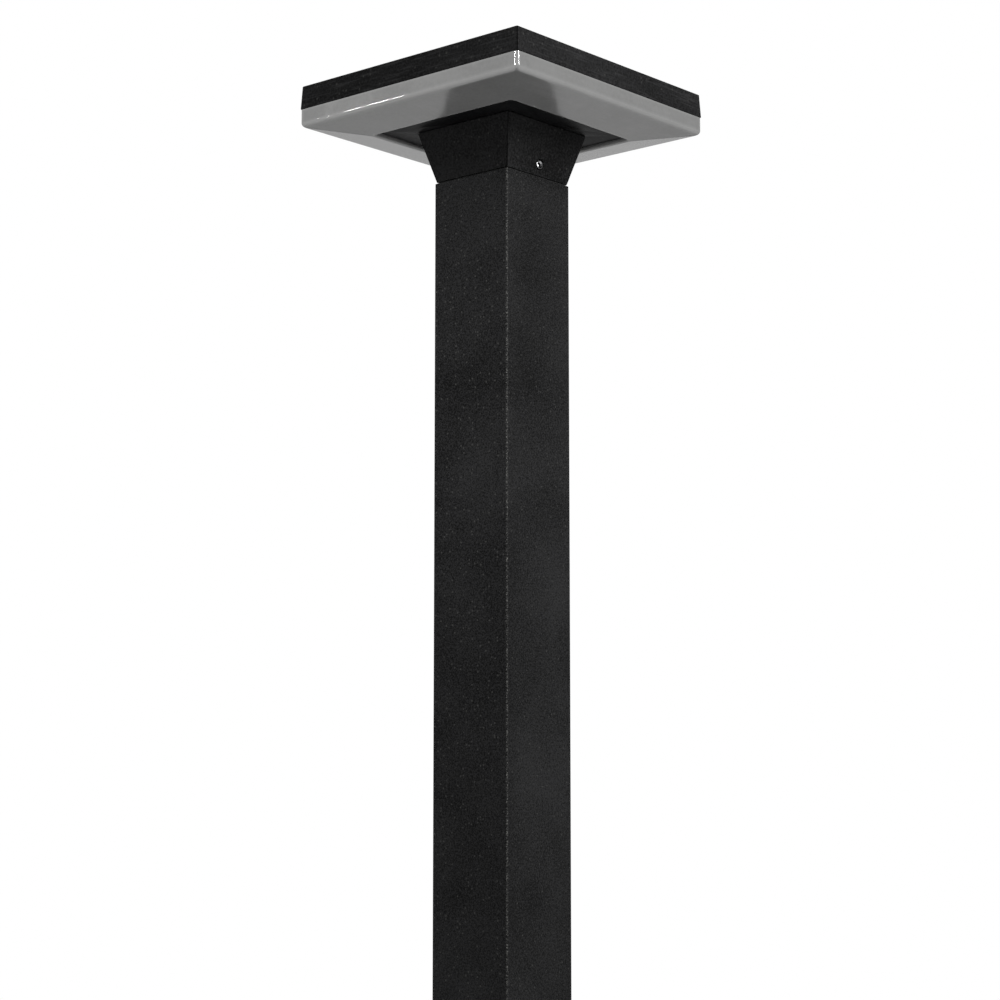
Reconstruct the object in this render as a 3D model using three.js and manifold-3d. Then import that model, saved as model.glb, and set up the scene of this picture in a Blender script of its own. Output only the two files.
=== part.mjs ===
// Square bollard light: an extruded post with a welded foot, and a flat square lamp head
// that drops over a spigot in the post and is held there by two set screws.
// Millimetres, +Z up, standing on z = 0 with the post's axis on x = y = 0.

import * as THREE from 'three';
import { mergeVertices } from 'three/addons/utils/BufferGeometryUtils.js';
import Module from 'manifold-3d';

const wasm = await Module();
wasm.setup();

// ---------------------------------------------------------------- sizes

const CLEARANCE = 0.3;
const ROUND_SIDES = 24;
const EDGE_STEPS = 5;
const LIP_STEPS = 5;

const FOOT = {
  half: 80, corner: 8, thickness: 10, cableHole: 25, anchorRadius: 7, anchorOffset: 60,
};
const POST = { half: 40, corner: 1.5, wall: 3, top: 1118 };
const WELD = { leg: 4, face: 0.62 };
const SPIGOT = { bottom: 1058, top: 1150, upperHalf: 35.4, wall: 3, corner: 2 };
const NECK = {
  bottom: 1119.2, bottomHalf: 39.1, topHalf: 50.5, wall: 3, corner: 1, webThickness: 4, webHole: 22,
  grooveWidth: 1.4, grooveDepth: 2,
};
const SEAL = { thickness: 0.6, outerHalf: 38.2, innerHalf: 36 };
const SET_SCREW = { z: 1128.3, radius: 4, length: 6, socket: 2.2, socketDepth: 3 };
const SET_BOSS = { halfWidth: 8, halfHeight: 7, face: 35.8 };

const PLATE = {
  bottom: 1161.7, top: 1166.4, half: 74.5, flangeHalf: 88, flangeThickness: 2, corner: 4,
};
const DIFFUSER = {
  lipHalf: 75.1, lipBottom: 1158.1, lipRadius: 3, lipCorner: 3, seatHalf: 89, seatTop: 1163.2,
  sideHalf: 120, edgeBottom: 1164.9, edgeRadius: 3.8, top: 1179.7, wall: 3, corner: 3, innerCorner: 2,
  rebateHalf: 118.7, rebateDepth: 1,
};
const LIP_GASKET = { outerHalf: 86, innerHalf: 78.5, thickness: 0.6 };
const RIM_GASKET = { outerHalf: 118.4, innerHalf: 116.2, thickness: 0.7, corner: 1.5 };
const CAP = {
  bottom: 1180, top: 1200, bottomHalf: 120, topHalf: 118.9, corner: 0.8, innerCorner: 2, edge: 0.8,
  wall: 5, roof: 3.5,
};
const HEAD_SCREW = {
  offset: 32, radius: 2.5, headRadius: 4.25, headHeight: 5, reach: 14, socket: 2, bossRadius: 6.5,
};
const TRAY = { outerHalf: 112, innerHalf: 68, bottom: 1184.5, thickness: 2, corner: 6 };
const TRAY_SCREW = { offset: 96, radius: 1.5, headRadius: 3, headHeight: 2, reach: 6, bossRadius: 4 };
const LED = {
  boardLength: 166, boardWidth: 16, boardThickness: 1.6, ring: 94, chips: 6, pitch: 28,
  chipLength: 5, chipWidth: 5, chipHeight: 0.9,
};
const REFLECTOR = { half: 72, wall: 1.2, corner: 4 };
const DRIVER = {
  length: 112, width: 26, height: 17, y: 55, endInset: 4, footLength: 9, footHeight: 3,
  footLap: 6, footNarrower: 8, holeInset: 1.5,
};
const DRIVER_SCREW = { radius: 1.5, headRadius: 2.8, headHeight: 2.2 };
const TERMINAL = {
  length: 36, width: 20, height: 15, y: -52, poles: 3, wireHole: 1.8, wireHeight: 5, socketSpan: 9,
  screwHole: 2.2, screwFloor: 10, grooveWidth: 1.2, grooveDepth: 3,
};
const SCREW_SLOT = { width: 0.8, depth: 1.2 };
const GLAND = { hexRadius: 11, hexHeight: 5, domeRadius: 9, domeHeight: 12, bore: 4.5, thread: 8, nut: 4 };
const EARTH = { x: 56, y: -30, radius: 2, headRadius: 3.6, headHeight: 2.8, washer: 5, washerHeight: 1 };
const LEAD = { arcSteps: 5, radius: 1.4, earthRadius: 1.3 };

// ---------------------------------------------------------------- finishes

const metal = (color, roughness, metalness) =>
  new THREE.MeshStandardMaterial({ color, roughness, metalness });

const blackCoat = () => metal(0x242425, 0.55, 0.2);
const darkPlate = () => metal(0x323232, 0.6, 0.2);
const opal = () => metal(0xb9bab8, 0.25, 0);
const stainless = () => metal(0xc4c6c8, 0.3, 1);
const bareAluminium = () => metal(0xa9acae, 0.4, 1);
const rubber = () => metal(0x101011, 0.85, 0);
const whitePaint = () => metal(0xf0f0ee, 0.4, 0);
const boardWhite = () => metal(0xe6e8e4, 0.45, 0);
const driverCase = () => metal(0xd8d9d6, 0.5, 0);
const terminalPlastic = () => metal(0xe2dfd6, 0.5, 0);
const glandNylon = () => metal(0x1b1c1e, 0.6, 0);
const earthSleeve = () => metal(0x5f9a2c, 0.5, 0);
const leadSleeve = () => metal(0x8a8d90, 0.55, 0);

// ---------------------------------------------------------------- shape helpers

// A closed triangle mesh as a solid that can be joined and cut.
function toSolid(geometry) {
  const bare = new THREE.BufferGeometry();
  const indexed = geometry.index;
  bare.setAttribute('position', geometry.attributes.position.clone());
  if (indexed) bare.setIndex(indexed.clone());
  const merged = mergeVertices(bare, 1e-4);
  return new wasm.Manifold(new wasm.Mesh({
    numProp: 3,
    vertProperties: new Float32Array(merged.attributes.position.array),
    triVerts: new Uint32Array(merged.index.array),
  }));
}

function toGeometry(solid) {
  const { vertProperties, triVerts } = solid.getMesh();
  const geometry = new THREE.BufferGeometry();
  geometry.setAttribute('position', new THREE.BufferAttribute(new Float32Array(vertProperties), 3));
  geometry.setIndex(new THREE.BufferAttribute(new Uint32Array(triVerts), 1));
  geometry.computeVertexNormals();
  return geometry;
}

function part(name, solid, material) {
  const mesh = new THREE.Mesh(toGeometry(solid), material);
  mesh.name = name;
  return mesh;
}

// Outline of a square with rounded corners, counter-clockwise.
function roundedSquare(half, corner, steps) {
  const points = [];
  for (let quarter = 0; quarter < 4; quarter += 1) {
    const turn = quarter * Math.PI / 2;
    for (let step = 0; step <= steps; step += 1) {
      const angle = turn + (step / steps) * Math.PI / 2;
      const cx = (half - corner) * Math.SQRT2 * Math.cos(turn + Math.PI / 4);
      const cy = (half - corner) * Math.SQRT2 * Math.sin(turn + Math.PI / 4);
      points.push([cx + corner * Math.cos(angle), cy + corner * Math.sin(angle)]);
    }
  }
  return points;
}

// Joins rings of points into a closed skin. A looped skin joins its last ring to its first;
// any other has both ends capped by a fan.
function skin(rings, looped) {
  const count = rings[0].length;
  const positions = rings.flat(2);
  const index = [];
  const spans = looped ? rings.length : rings.length - 1;
  for (let ring = 0; ring < spans; ring += 1) {
    const below = ring * count;
    const above = ((ring + 1) % rings.length) * count;
    for (let i = 0; i < count; i += 1) {
      const next = (i + 1) % count;
      index.push(below + i, below + next, above + next, below + i, above + next, above + i);
    }
  }
  if (!looped) {
    const last = (rings.length - 1) * count;
    for (let i = 1; i < count - 1; i += 1) {
      index.push(0, i + 1, i, last, last + i, last + i + 1);
    }
  }
  const geometry = new THREE.BufferGeometry();
  geometry.setAttribute('position', new THREE.Float32BufferAttribute(positions, 3));
  geometry.setIndex(index);
  return toSolid(geometry);
}

// A square ring or block. Each station of the section is [half width, corner radius, z].
function squareTurn(section, looped, steps = 4) {
  const rings = section.map(([half, corner, z]) =>
    roundedSquare(half, corner, steps).map(([x, y]) => [x, y, z]));
  return skin(rings, looped);
}

const squareBlock = (half, corner, z0, z1) =>
  squareTurn([[half, corner, z0], [half, corner, z1]], false);

const squareRing = (outerHalf, outerCorner, innerHalf, innerCorner, z0, z1) => squareTurn([
  [outerHalf, outerCorner, z0], [outerHalf, outerCorner, z1],
  [innerHalf, innerCorner, z1], [innerHalf, innerCorner, z0],
], true);

function box(width, depth, height, x, y, z) {
  const geometry = new THREE.BoxGeometry(width, depth, height);
  geometry.translate(x, y, z);
  return toSolid(geometry);
}

// A round or many-sided bar between two heights.
function bar(radius, z0, z1, x = 0, y = 0, sides = ROUND_SIDES) {
  const geometry = new THREE.CylinderGeometry(radius, radius, z1 - z0, sides);
  geometry.rotateX(Math.PI / 2);
  geometry.translate(x, y, (z0 + z1) / 2);
  return toSolid(geometry);
}

// The same bar lying along X.
function crossBar(radius, x0, x1, y, z, sides = ROUND_SIDES) {
  const geometry = new THREE.CylinderGeometry(radius, radius, x1 - x0, sides);
  geometry.rotateZ(Math.PI / 2);
  geometry.translate((x0 + x1) / 2, y, z);
  return toSolid(geometry);
}

// A round lead along a smooth route through the given points.
function lead(points, radius, steps) {
  const route = new THREE.CatmullRomCurve3(points.map((p) => new THREE.Vector3(...p)));
  const section = new THREE.Shape();
  section.absarc(0, 0, radius, 0, 2 * Math.PI);
  return toSolid(new THREE.ExtrudeGeometry(section, {
    steps, curveSegments: LEAD.arcSteps, extrudePath: route, bevelEnabled: false,
  }));
}

const corners = (offset) => [[1, 1], [-1, 1], [-1, -1], [1, -1]].map(([x, y]) => [x * offset, y * offset]);

const cutAll = (solid, cutters) => cutters.reduce((rest, cutter) => rest.subtract(cutter), solid);

const joinAll = (solid, extras) => extras.reduce((rest, extra) => rest.add(extra), solid);

// ---------------------------------------------------------------- post and foot

function basePlate() {
  const slab = squareBlock(FOOT.half, FOOT.corner, 0, FOOT.thickness);
  const holes = corners(FOOT.anchorOffset).map(([x, y]) =>
    bar(FOOT.anchorRadius, -1, FOOT.thickness + 1, x, y));
  holes.push(bar(FOOT.cableHole, -1, FOOT.thickness + 1, 0, 0, ROUND_SIDES * 2));
  return part('base_plate', cutAll(slab, holes), blackCoat());
}

function baseWeld() {
  const inner = POST.half + CLEARANCE;
  const foot = FOOT.thickness + CLEARANCE;
  const bead = squareTurn([
    [inner, POST.corner + CLEARANCE, foot],
    [inner + WELD.leg, POST.corner + WELD.leg, foot],
    [inner + WELD.leg * WELD.face, POST.corner + WELD.leg * WELD.face, foot + WELD.leg * WELD.face],
    [inner, POST.corner + CLEARANCE, foot + WELD.leg],
  ], true);
  return part('base_weld', bead, blackCoat());
}

function post() {
  const tube = squareRing(
    POST.half, POST.corner, POST.half - POST.wall, POST.corner / 2,
    FOOT.thickness + CLEARANCE, POST.top,
  );
  return part('post', tube, blackCoat());
}

// The spigot is bonded inside the post, and its narrower upper half stands up into the neck.
function postSpigot() {
  const lower = POST.half - POST.wall - CLEARANCE;
  const upper = SPIGOT.upperHalf;
  const bore = upper - SPIGOT.wall;
  const casting = squareTurn([
    [lower, SPIGOT.corner, SPIGOT.bottom], [lower, SPIGOT.corner, POST.top],
    [upper, SPIGOT.corner, POST.top + 0.1], [upper, SPIGOT.corner, SPIGOT.top - 2],
    [upper - 1, SPIGOT.corner, SPIGOT.top], [bore, SPIGOT.corner / 2, SPIGOT.top],
    [bore, SPIGOT.corner / 2, SPIGOT.bottom],
  ], true);
  return part('post_spigot', casting, bareAluminium());
}

function neckSeal() {
  const z = POST.top + CLEARANCE;
  const ring = squareRing(SEAL.outerHalf, 1.5, SEAL.innerHalf, 1, z, z + SEAL.thickness);
  return part('neck_seal', ring, rubber());
}

// ---------------------------------------------------------------- neck and its fixings

const neckTop = () => PLATE.bottom - CLEARANCE;

// A narrow slot along one upright corner of the neck, leaning with its flare.
function cornerGroove([sideX, sideY]) {
  const outward = new THREE.Vector2(sideX, sideY).normalize();
  const across = new THREE.Vector2(-outward.y, outward.x);
  const ring = (half, z) => [[2, 1], [2, -1], [-NECK.grooveDepth, -1], [-NECK.grooveDepth, 1]]
    .map(([depth, side]) => {
      const spot = new THREE.Vector2(half * sideX, half * sideY).addScaledVector(outward, depth);
      spot.addScaledVector(across, -side * NECK.grooveWidth / 2);
      return [spot.x, spot.y, z];
    });
  const top = neckTop();
  const lean = (NECK.topHalf - NECK.bottomHalf) / (top - NECK.bottom);
  return skin([
    ring(NECK.bottomHalf - lean, NECK.bottom - 1), ring(NECK.topHalf + lean, top + 1),
  ], false);
}

function neck() {
  const top = neckTop();
  const flare = (NECK.topHalf - NECK.bottomHalf) / (top - NECK.bottom);
  const webBottom = top - NECK.webThickness;
  const innerAt = (z) => NECK.bottomHalf + flare * (z - NECK.bottom) - NECK.wall;
  const shell = squareTurn([
    [NECK.bottomHalf, NECK.corner, NECK.bottom], [NECK.topHalf, NECK.corner, top],
    [NECK.webHole, NECK.corner * 3, top], [NECK.webHole, NECK.corner * 3, webBottom],
    [innerAt(webBottom), NECK.corner, webBottom], [innerAt(NECK.bottom), NECK.corner, NECK.bottom],
  ], true);
  const bossReach = innerAt(SET_SCREW.z) + 1 - SET_BOSS.face;
  const bosses = [1, -1].map((side) => box(
    bossReach, SET_BOSS.halfWidth * 2, SET_BOSS.halfHeight * 2,
    side * (SET_BOSS.face + bossReach / 2), 0, SET_SCREW.z,
  ));
  const holes = corners(HEAD_SCREW.offset).map(([x, y]) =>
    bar(HEAD_SCREW.radius + CLEARANCE, webBottom - 1, top + 1, x, y));
  const thread = SET_SCREW.radius + CLEARANCE;
  holes.push(crossBar(thread, -NECK.topHalf, -SET_BOSS.face + 1, 0, SET_SCREW.z));
  holes.push(crossBar(thread, SET_BOSS.face - 1, NECK.topHalf, 0, SET_SCREW.z));
  const grooves = corners(1).map(cornerGroove);
  return part('neck', cutAll(joinAll(shell, bosses), [...holes, ...grooves]), blackCoat());
}

function setScrew(name, side) {
  const tip = SPIGOT.upperHalf + CLEARANCE;
  const outer = tip + SET_SCREW.length;
  const near = Math.min(side * tip, side * outer);
  const far = Math.max(side * tip, side * outer);
  const body = crossBar(SET_SCREW.radius, near, far, 0, SET_SCREW.z);
  const mouth = side * (outer - SET_SCREW.socketDepth);
  const socket = crossBar(
    SET_SCREW.socket, Math.min(mouth, side * (outer + 1)), Math.max(mouth, side * (outer + 1)),
    0, SET_SCREW.z, 6,
  );
  return part(name, body.subtract(socket), stainless());
}

// Long screws stand inside the neck and draw neck, plate and diffuser up against the cap.
function headScrew(name, x, y) {
  const seat = neckTop() - NECK.webThickness - CLEARANCE;
  const shank = bar(HEAD_SCREW.radius, seat - 1, PLATE.top + HEAD_SCREW.reach, x, y, 16);
  const head = bar(HEAD_SCREW.headRadius, seat - HEAD_SCREW.headHeight, seat, x, y, 20);
  const drive = bar(HEAD_SCREW.socket, seat - HEAD_SCREW.headHeight - 1, seat - 2.4, x, y, 6);
  return part(name, shank.add(head).subtract(drive), stainless());
}

// ---------------------------------------------------------------- plate, gaskets and diffuser

function recessPlate() {
  const slab = squareTurn([
    [PLATE.half, PLATE.corner, PLATE.bottom],
    [PLATE.half, PLATE.corner, PLATE.top - PLATE.flangeThickness],
    [PLATE.flangeHalf, PLATE.corner, PLATE.top - PLATE.flangeThickness],
    [PLATE.flangeHalf, PLATE.corner, PLATE.top],
  ], false);
  const through = (radius, x, y) => bar(radius, PLATE.bottom - 1, PLATE.top + 1, x, y);
  const holes = corners(HEAD_SCREW.offset).map(([x, y]) => through(HEAD_SCREW.radius + CLEARANCE, x, y));
  holes.push(through(GLAND.thread + CLEARANCE, 0, 0));
  const blind = (radius, depth, x, y) => bar(radius, PLATE.top - depth, PLATE.top + 1, x, y);
  holes.push(blind(EARTH.radius + CLEARANCE, 2.4, EARTH.x, EARTH.y));
  for (const side of [1, -1]) {
    holes.push(blind(DRIVER_SCREW.radius + CLEARANCE, 2.4, side * driverFootX(), DRIVER.y));
  }
  return part('recess_plate', cutAll(slab, holes), darkPlate());
}

function lipGasket() {
  const z = DIFFUSER.seatTop + CLEARANCE;
  const ring = squareRing(
    LIP_GASKET.outerHalf, 4, LIP_GASKET.innerHalf, 3, z, z + LIP_GASKET.thickness,
  );
  return part('lip_gasket', ring, rubber());
}

// The opal ring: an upright side, a rounded lower edge and an underside that falls inwards
// to the square opening's rounded lip.
function diffuser() {
  const { lipHalf, lipBottom, lipRadius, lipCorner, seatHalf, seatTop, sideHalf } = DIFFUSER;
  const { edgeBottom, edgeRadius, top, wall, corner, innerCorner, rebateHalf } = DIFFUSER;
  const rebate = top - DIFFUSER.rebateDepth;
  const fall = Math.atan2(edgeBottom - lipBottom, sideHalf - lipHalf);
  const start = -Math.PI / 2 + fall;
  const reach = edgeRadius * Math.tan((Math.PI / 2 - fall) / 2);
  const centreX = sideHalf - edgeRadius;
  const centreZ = edgeBottom + reach;
  const lipCentreX = lipHalf + lipRadius;
  const lipCentreZ = lipBottom + lipRadius * Math.tan(Math.PI / 4 + fall / 2);
  const section = [];
  for (let step = 0; step <= LIP_STEPS; step += 1) {
    const angle = Math.PI + (Math.PI / 2 + fall) * step / LIP_STEPS;
    section.push([
      lipCentreX + lipRadius * Math.cos(angle), lipCorner, lipCentreZ + lipRadius * Math.sin(angle),
    ]);
  }
  for (let step = 0; step <= EDGE_STEPS; step += 1) {
    const angle = start - start * step / EDGE_STEPS;
    section.push([
      centreX + edgeRadius * Math.cos(angle), corner, centreZ + edgeRadius * Math.sin(angle),
    ]);
  }
  const innerSide = sideHalf - wall;
  const innerFloor = edgeBottom + wall - (wall + edgeRadius) * Math.tan(fall);
  section.push([sideHalf, corner, top], [rebateHalf, innerCorner, top]);
  section.push([rebateHalf, innerCorner, rebate], [innerSide, innerCorner, rebate]);
  section.push([innerSide, innerCorner, innerFloor + edgeRadius]);
  section.push([innerSide - edgeRadius, innerCorner, innerFloor]);
  section.push([seatHalf, lipCorner, seatTop], [lipHalf, lipCorner, seatTop]);
  return part('diffuser', squareTurn(section, true, 5), opal());
}

function rimGasket() {
  const z = DIFFUSER.top - DIFFUSER.rebateDepth + CLEARANCE;
  const ring = squareRing(
    RIM_GASKET.outerHalf, RIM_GASKET.corner, RIM_GASKET.innerHalf, RIM_GASKET.corner,
    z, z + RIM_GASKET.thickness,
  );
  return part('rim_gasket', ring, rubber());
}

// ---------------------------------------------------------------- cap

function cap() {
  const { bottom, top, bottomHalf, topHalf, corner, innerCorner, edge, wall, roof } = CAP;
  const ceiling = top - roof;
  const shell = squareTurn([
    [bottomHalf, corner, bottom], [topHalf + 0.05, corner, top - edge],
    [topHalf - edge * 0.3, corner, top - edge * 0.3], [topHalf - edge, corner, top],
    [0.5, 0.25, top], [0.5, 0.25, ceiling],
    [bottomHalf - wall - 1, innerCorner, ceiling], [bottomHalf - wall, innerCorner, bottom],
  ], true);
  const plug = bar(1.5, ceiling, top, 0, 0, 8);
  const headBosses = corners(HEAD_SCREW.offset).map(([x, y]) =>
    bar(HEAD_SCREW.bossRadius, PLATE.top + CLEARANCE, top - 1, x, y));
  const trayTop = TRAY.bottom + TRAY.thickness;
  const trayBosses = corners(TRAY_SCREW.offset).map(([x, y]) =>
    bar(TRAY_SCREW.bossRadius, trayTop + CLEARANCE, top - 1, x, y, 16));
  const headHoles = corners(HEAD_SCREW.offset).map(([x, y]) =>
    bar(HEAD_SCREW.radius + CLEARANCE, PLATE.top - 1, PLATE.top + HEAD_SCREW.reach + 1, x, y));
  const trayHoles = corners(TRAY_SCREW.offset).map(([x, y]) =>
    bar(TRAY_SCREW.radius + CLEARANCE, trayTop - 1, trayTop + TRAY_SCREW.reach + 1, x, y, 16));
  const casting = joinAll(shell, [plug, ...headBosses, ...trayBosses]);
  return part('cap', cutAll(casting, [...headHoles, ...trayHoles]), blackCoat());
}

// ---------------------------------------------------------------- light source

function ledTray() {
  const ring = squareRing(
    TRAY.outerHalf, TRAY.corner, TRAY.innerHalf, 3, TRAY.bottom, TRAY.bottom + TRAY.thickness,
  );
  const holes = corners(TRAY_SCREW.offset).map(([x, y]) =>
    bar(TRAY_SCREW.radius + CLEARANCE, TRAY.bottom - 1, TRAY.bottom + TRAY.thickness + 1, x, y, 16));
  return part('led_tray', cutAll(ring, holes), bareAluminium());
}

function trayScrew(name, x, y) {
  const seat = TRAY.bottom - CLEARANCE;
  const tip = TRAY.bottom + TRAY.thickness + TRAY_SCREW.reach;
  const shank = bar(TRAY_SCREW.radius, seat - 0.5, tip, x, y, 12);
  const head = bar(TRAY_SCREW.headRadius, seat - TRAY_SCREW.headHeight, seat, x, y, 16);
  const slot = box(
    TRAY_SCREW.headRadius * 3, SCREW_SLOT.width, SCREW_SLOT.depth, x, y, seat - TRAY_SCREW.headHeight,
  );
  return part(name, shank.add(head).subtract(slot), stainless());
}

// A strip of LED packages on the underside of the tray, along one side of the head.
function ledBoard(name, quarter) {
  const top = TRAY.bottom - CLEARANCE;
  const bottom = top - LED.boardThickness;
  const strip = box(
    LED.boardLength, LED.boardWidth, LED.boardThickness, 0, -LED.ring, (top + bottom) / 2,
  );
  const chips = [];
  for (let i = 0; i < LED.chips; i += 1) {
    const x = (i - (LED.chips - 1) / 2) * LED.pitch;
    const height = LED.chipHeight + 0.2;
    chips.push(box(LED.chipLength, LED.chipWidth, height, x, -LED.ring, bottom + 0.2 - height / 2));
  }
  const mesh = part(name, joinAll(strip, chips), boardWhite());
  mesh.rotation.z = quarter * Math.PI / 2;
  return mesh;
}

function innerReflector() {
  const wall = squareRing(
    REFLECTOR.half, REFLECTOR.corner, REFLECTOR.half - REFLECTOR.wall, REFLECTOR.corner - 1,
    PLATE.top + CLEARANCE, TRAY.bottom - CLEARANCE,
  );
  return part('inner_reflector', wall, whitePaint());
}

// ---------------------------------------------------------------- electrical parts

const driverFootX = () => (DRIVER.length + DRIVER.footLength) / 2 - DRIVER.holeInset;

function driver() {
  const floor = PLATE.top + CLEARANCE;
  const body = box(
    DRIVER.length - 2 * DRIVER.endInset, DRIVER.width, DRIVER.height,
    0, DRIVER.y, floor + DRIVER.height / 2,
  );
  const feet = [1, -1].map((side) => box(
    DRIVER.footLength + DRIVER.footLap, DRIVER.width - DRIVER.footNarrower, DRIVER.footHeight,
    side * (driverFootX() - DRIVER.footLap / 2), DRIVER.y, floor + DRIVER.footHeight / 2,
  ));
  const holes = [1, -1].map((side) => bar(
    DRIVER_SCREW.radius + CLEARANCE, floor - 1, floor + DRIVER.footHeight + 1,
    side * driverFootX(), DRIVER.y,
  ));
  return part('driver', cutAll(joinAll(body, feet), holes), driverCase());
}

function driverScrew(name, side) {
  const x = side * driverFootX();
  const seat = PLATE.top + CLEARANCE + DRIVER.footHeight + CLEARANCE;
  const shank = bar(DRIVER_SCREW.radius, PLATE.top - 2, seat + 0.5, x, DRIVER.y, 12);
  const head = bar(DRIVER_SCREW.headRadius, seat, seat + DRIVER_SCREW.headHeight, x, DRIVER.y, 16);
  const slot = box(
    SCREW_SLOT.width, DRIVER_SCREW.headRadius * 3, SCREW_SLOT.depth,
    x, DRIVER.y, seat + DRIVER_SCREW.headHeight,
  );
  return part(name, shank.add(head).subtract(slot), stainless());
}

const wireZ = () => PLATE.top + CLEARANCE + TERMINAL.wireHeight;

function terminalBlock() {
  const floor = PLATE.top + CLEARANCE;
  const body = box(
    TERMINAL.length, TERMINAL.width, TERMINAL.height, 0, TERMINAL.y, floor + TERMINAL.height / 2,
  );
  const pitch = TERMINAL.length / TERMINAL.poles;
  const cutters = [];
  for (let pole = 0; pole < TERMINAL.poles; pole += 1) {
    const x = (pole - (TERMINAL.poles - 1) / 2) * pitch;
    const hole = TERMINAL.wireHole * 2;
    for (const side of [1, -1]) {
      const mouth = TERMINAL.y + side * TERMINAL.width / 2;
      cutters.push(box(hole, TERMINAL.socketSpan, hole, x, mouth, wireZ()));
    }
    cutters.push(bar(
      TERMINAL.screwHole, floor + TERMINAL.screwFloor, floor + TERMINAL.height + 1, x, TERMINAL.y, 12,
    ));
    if (pole > 0) {
      cutters.push(box(
        TERMINAL.grooveWidth, TERMINAL.width + 2, TERMINAL.grooveDepth,
        x - pitch / 2, TERMINAL.y, floor + TERMINAL.height,
      ));
    }
  }
  return part('terminal_block', cutAll(body, cutters), terminalPlastic());
}

// The supply cable's gland hangs under the plate, inside the neck.
function cableGland() {
  const seat = PLATE.bottom - CLEARANCE;
  const hex = bar(GLAND.hexRadius, seat - GLAND.hexHeight, seat, 0, 0, 6);
  const dome = bar(GLAND.domeRadius, seat - GLAND.hexHeight - GLAND.domeHeight, seat - 1);
  const thread = bar(GLAND.thread, seat - 1, PLATE.top + GLAND.nut + 2);
  const bore = bar(GLAND.bore, seat - 30, PLATE.top + 20);
  return part('cable_gland', joinAll(hex, [dome, thread]).subtract(bore), glandNylon());
}

function glandNut() {
  const floor = PLATE.top + CLEARANCE;
  const nut = bar(GLAND.hexRadius, floor, floor + GLAND.nut, 0, 0, 6);
  const bore = bar(GLAND.thread + CLEARANCE, floor - 1, floor + GLAND.nut + 1);
  return part('gland_locknut', nut.subtract(bore), glandNylon());
}

function earthWasher() {
  const floor = PLATE.top + CLEARANCE;
  const ring = bar(EARTH.washer, floor, floor + EARTH.washerHeight, EARTH.x, EARTH.y);
  const bore = bar(
    EARTH.radius + CLEARANCE, floor - 1, floor + EARTH.washerHeight + 1, EARTH.x, EARTH.y,
  );
  return part('earth_washer', ring.subtract(bore), stainless());
}

function earthScrew() {
  const seat = PLATE.top + EARTH.washerHeight + 2 * CLEARANCE;
  const shank = bar(EARTH.radius, PLATE.top - 2, seat + 0.5, EARTH.x, EARTH.y, 16);
  const head = bar(EARTH.headRadius, seat, seat + EARTH.headHeight, EARTH.x, EARTH.y);
  const slot = box(
    EARTH.headRadius * 3, SCREW_SLOT.width, SCREW_SLOT.depth, EARTH.x, EARTH.y, seat + EARTH.headHeight,
  );
  return part('earth_screw', shank.add(head).subtract(slot), stainless());
}

const poleX = (pole) => (pole - 1) * TERMINAL.length / TERMINAL.poles;
const driverSocketX = () => DRIVER.length / 2 - DRIVER.endInset + 2 * CLEARANCE;

function earthLead() {
  const z = wireZ();
  const start = TERMINAL.y + TERMINAL.width / 2 - 2;
  return part('earth_lead', lead([
    [poleX(2), start, z], [poleX(2), start + 4, z], [13.5, -34, z], [20, -24, z], [30, -20.5, z],
    [42, -22.5, z], [48, -27, z - 1.5], [EARTH.x - EARTH.washer - 1.8, EARTH.y, z - 2.5],
  ], LEAD.earthRadius, 32), earthSleeve());
}

// From the terminal block round the side of the plate to the driver's input end.
function driverLead() {
  const z = wireZ();
  const start = TERMINAL.y - TERMINAL.width / 2 + 2;
  return part('driver_lead', lead([
    [poleX(0), start, z], [poleX(0), start - 4, z], [-18, -66.5, z], [-36, -64, z],
    [-56, -52, z],
    [-62, -20, z + 2], [-62, 20, z + 5], [-61.5, 42, z + 6], [-60, 50, z + 6.5],
    [-56.5, 53.6, z + 6.5], [-driverSocketX(), 54, z + 6.5],
  ], LEAD.radius, 44), leadSleeve());
}

// From the driver's output end up through the tray's opening to the first LED strip.
function ledLead() {
  const z = wireZ();
  return part('led_lead', lead([
    [driverSocketX(), 56, z + 6.5], [56.5, 55.4, z + 6.6], [60.5, 50, z + 8], [62, 42, z + 10],
    [63, 34, 1187], [66, 26, 1189.5], [74, 22, 1190], [84, 20, 1189.5],
    [92, 18, 1188.6], [96, 16, 1188.3],
  ], LEAD.radius, 36), leadSleeve());
}

// ---------------------------------------------------------------- assembly

const standing = new THREE.Group();
standing.name = 'standing_parts';
standing.add(basePlate(), baseWeld(), post(), postSpigot(), neckSeal());

const lampHead = new THREE.Group();
lampHead.name = 'lamp_head';
lampHead.add(neck(), setScrew('set_screw_right', 1), setScrew('set_screw_left', -1));
corners(HEAD_SCREW.offset).forEach(([x, y], i) => lampHead.add(headScrew(`head_screw_${i + 1}`, x, y)));
lampHead.add(recessPlate(), lipGasket(), diffuser(), rimGasket(), cap());
lampHead.add(ledTray(), innerReflector());
corners(TRAY_SCREW.offset).forEach(([x, y], i) => lampHead.add(trayScrew(`tray_screw_${i + 1}`, x, y)));
['front', 'right', 'back', 'left'].forEach((side, i) => lampHead.add(ledBoard(`led_board_${side}`, i)));
lampHead.add(driver(), driverScrew('driver_screw_right', 1), driverScrew('driver_screw_left', -1));
lampHead.add(terminalBlock(), cableGland(), glandNut(), earthWasher(), earthScrew());
lampHead.add(earthLead(), driverLead(), ledLead());

const bollard = new THREE.Group();
bollard.name = 'bollard_light';
bollard.add(standing, lampHead);

export default bollard;
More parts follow.
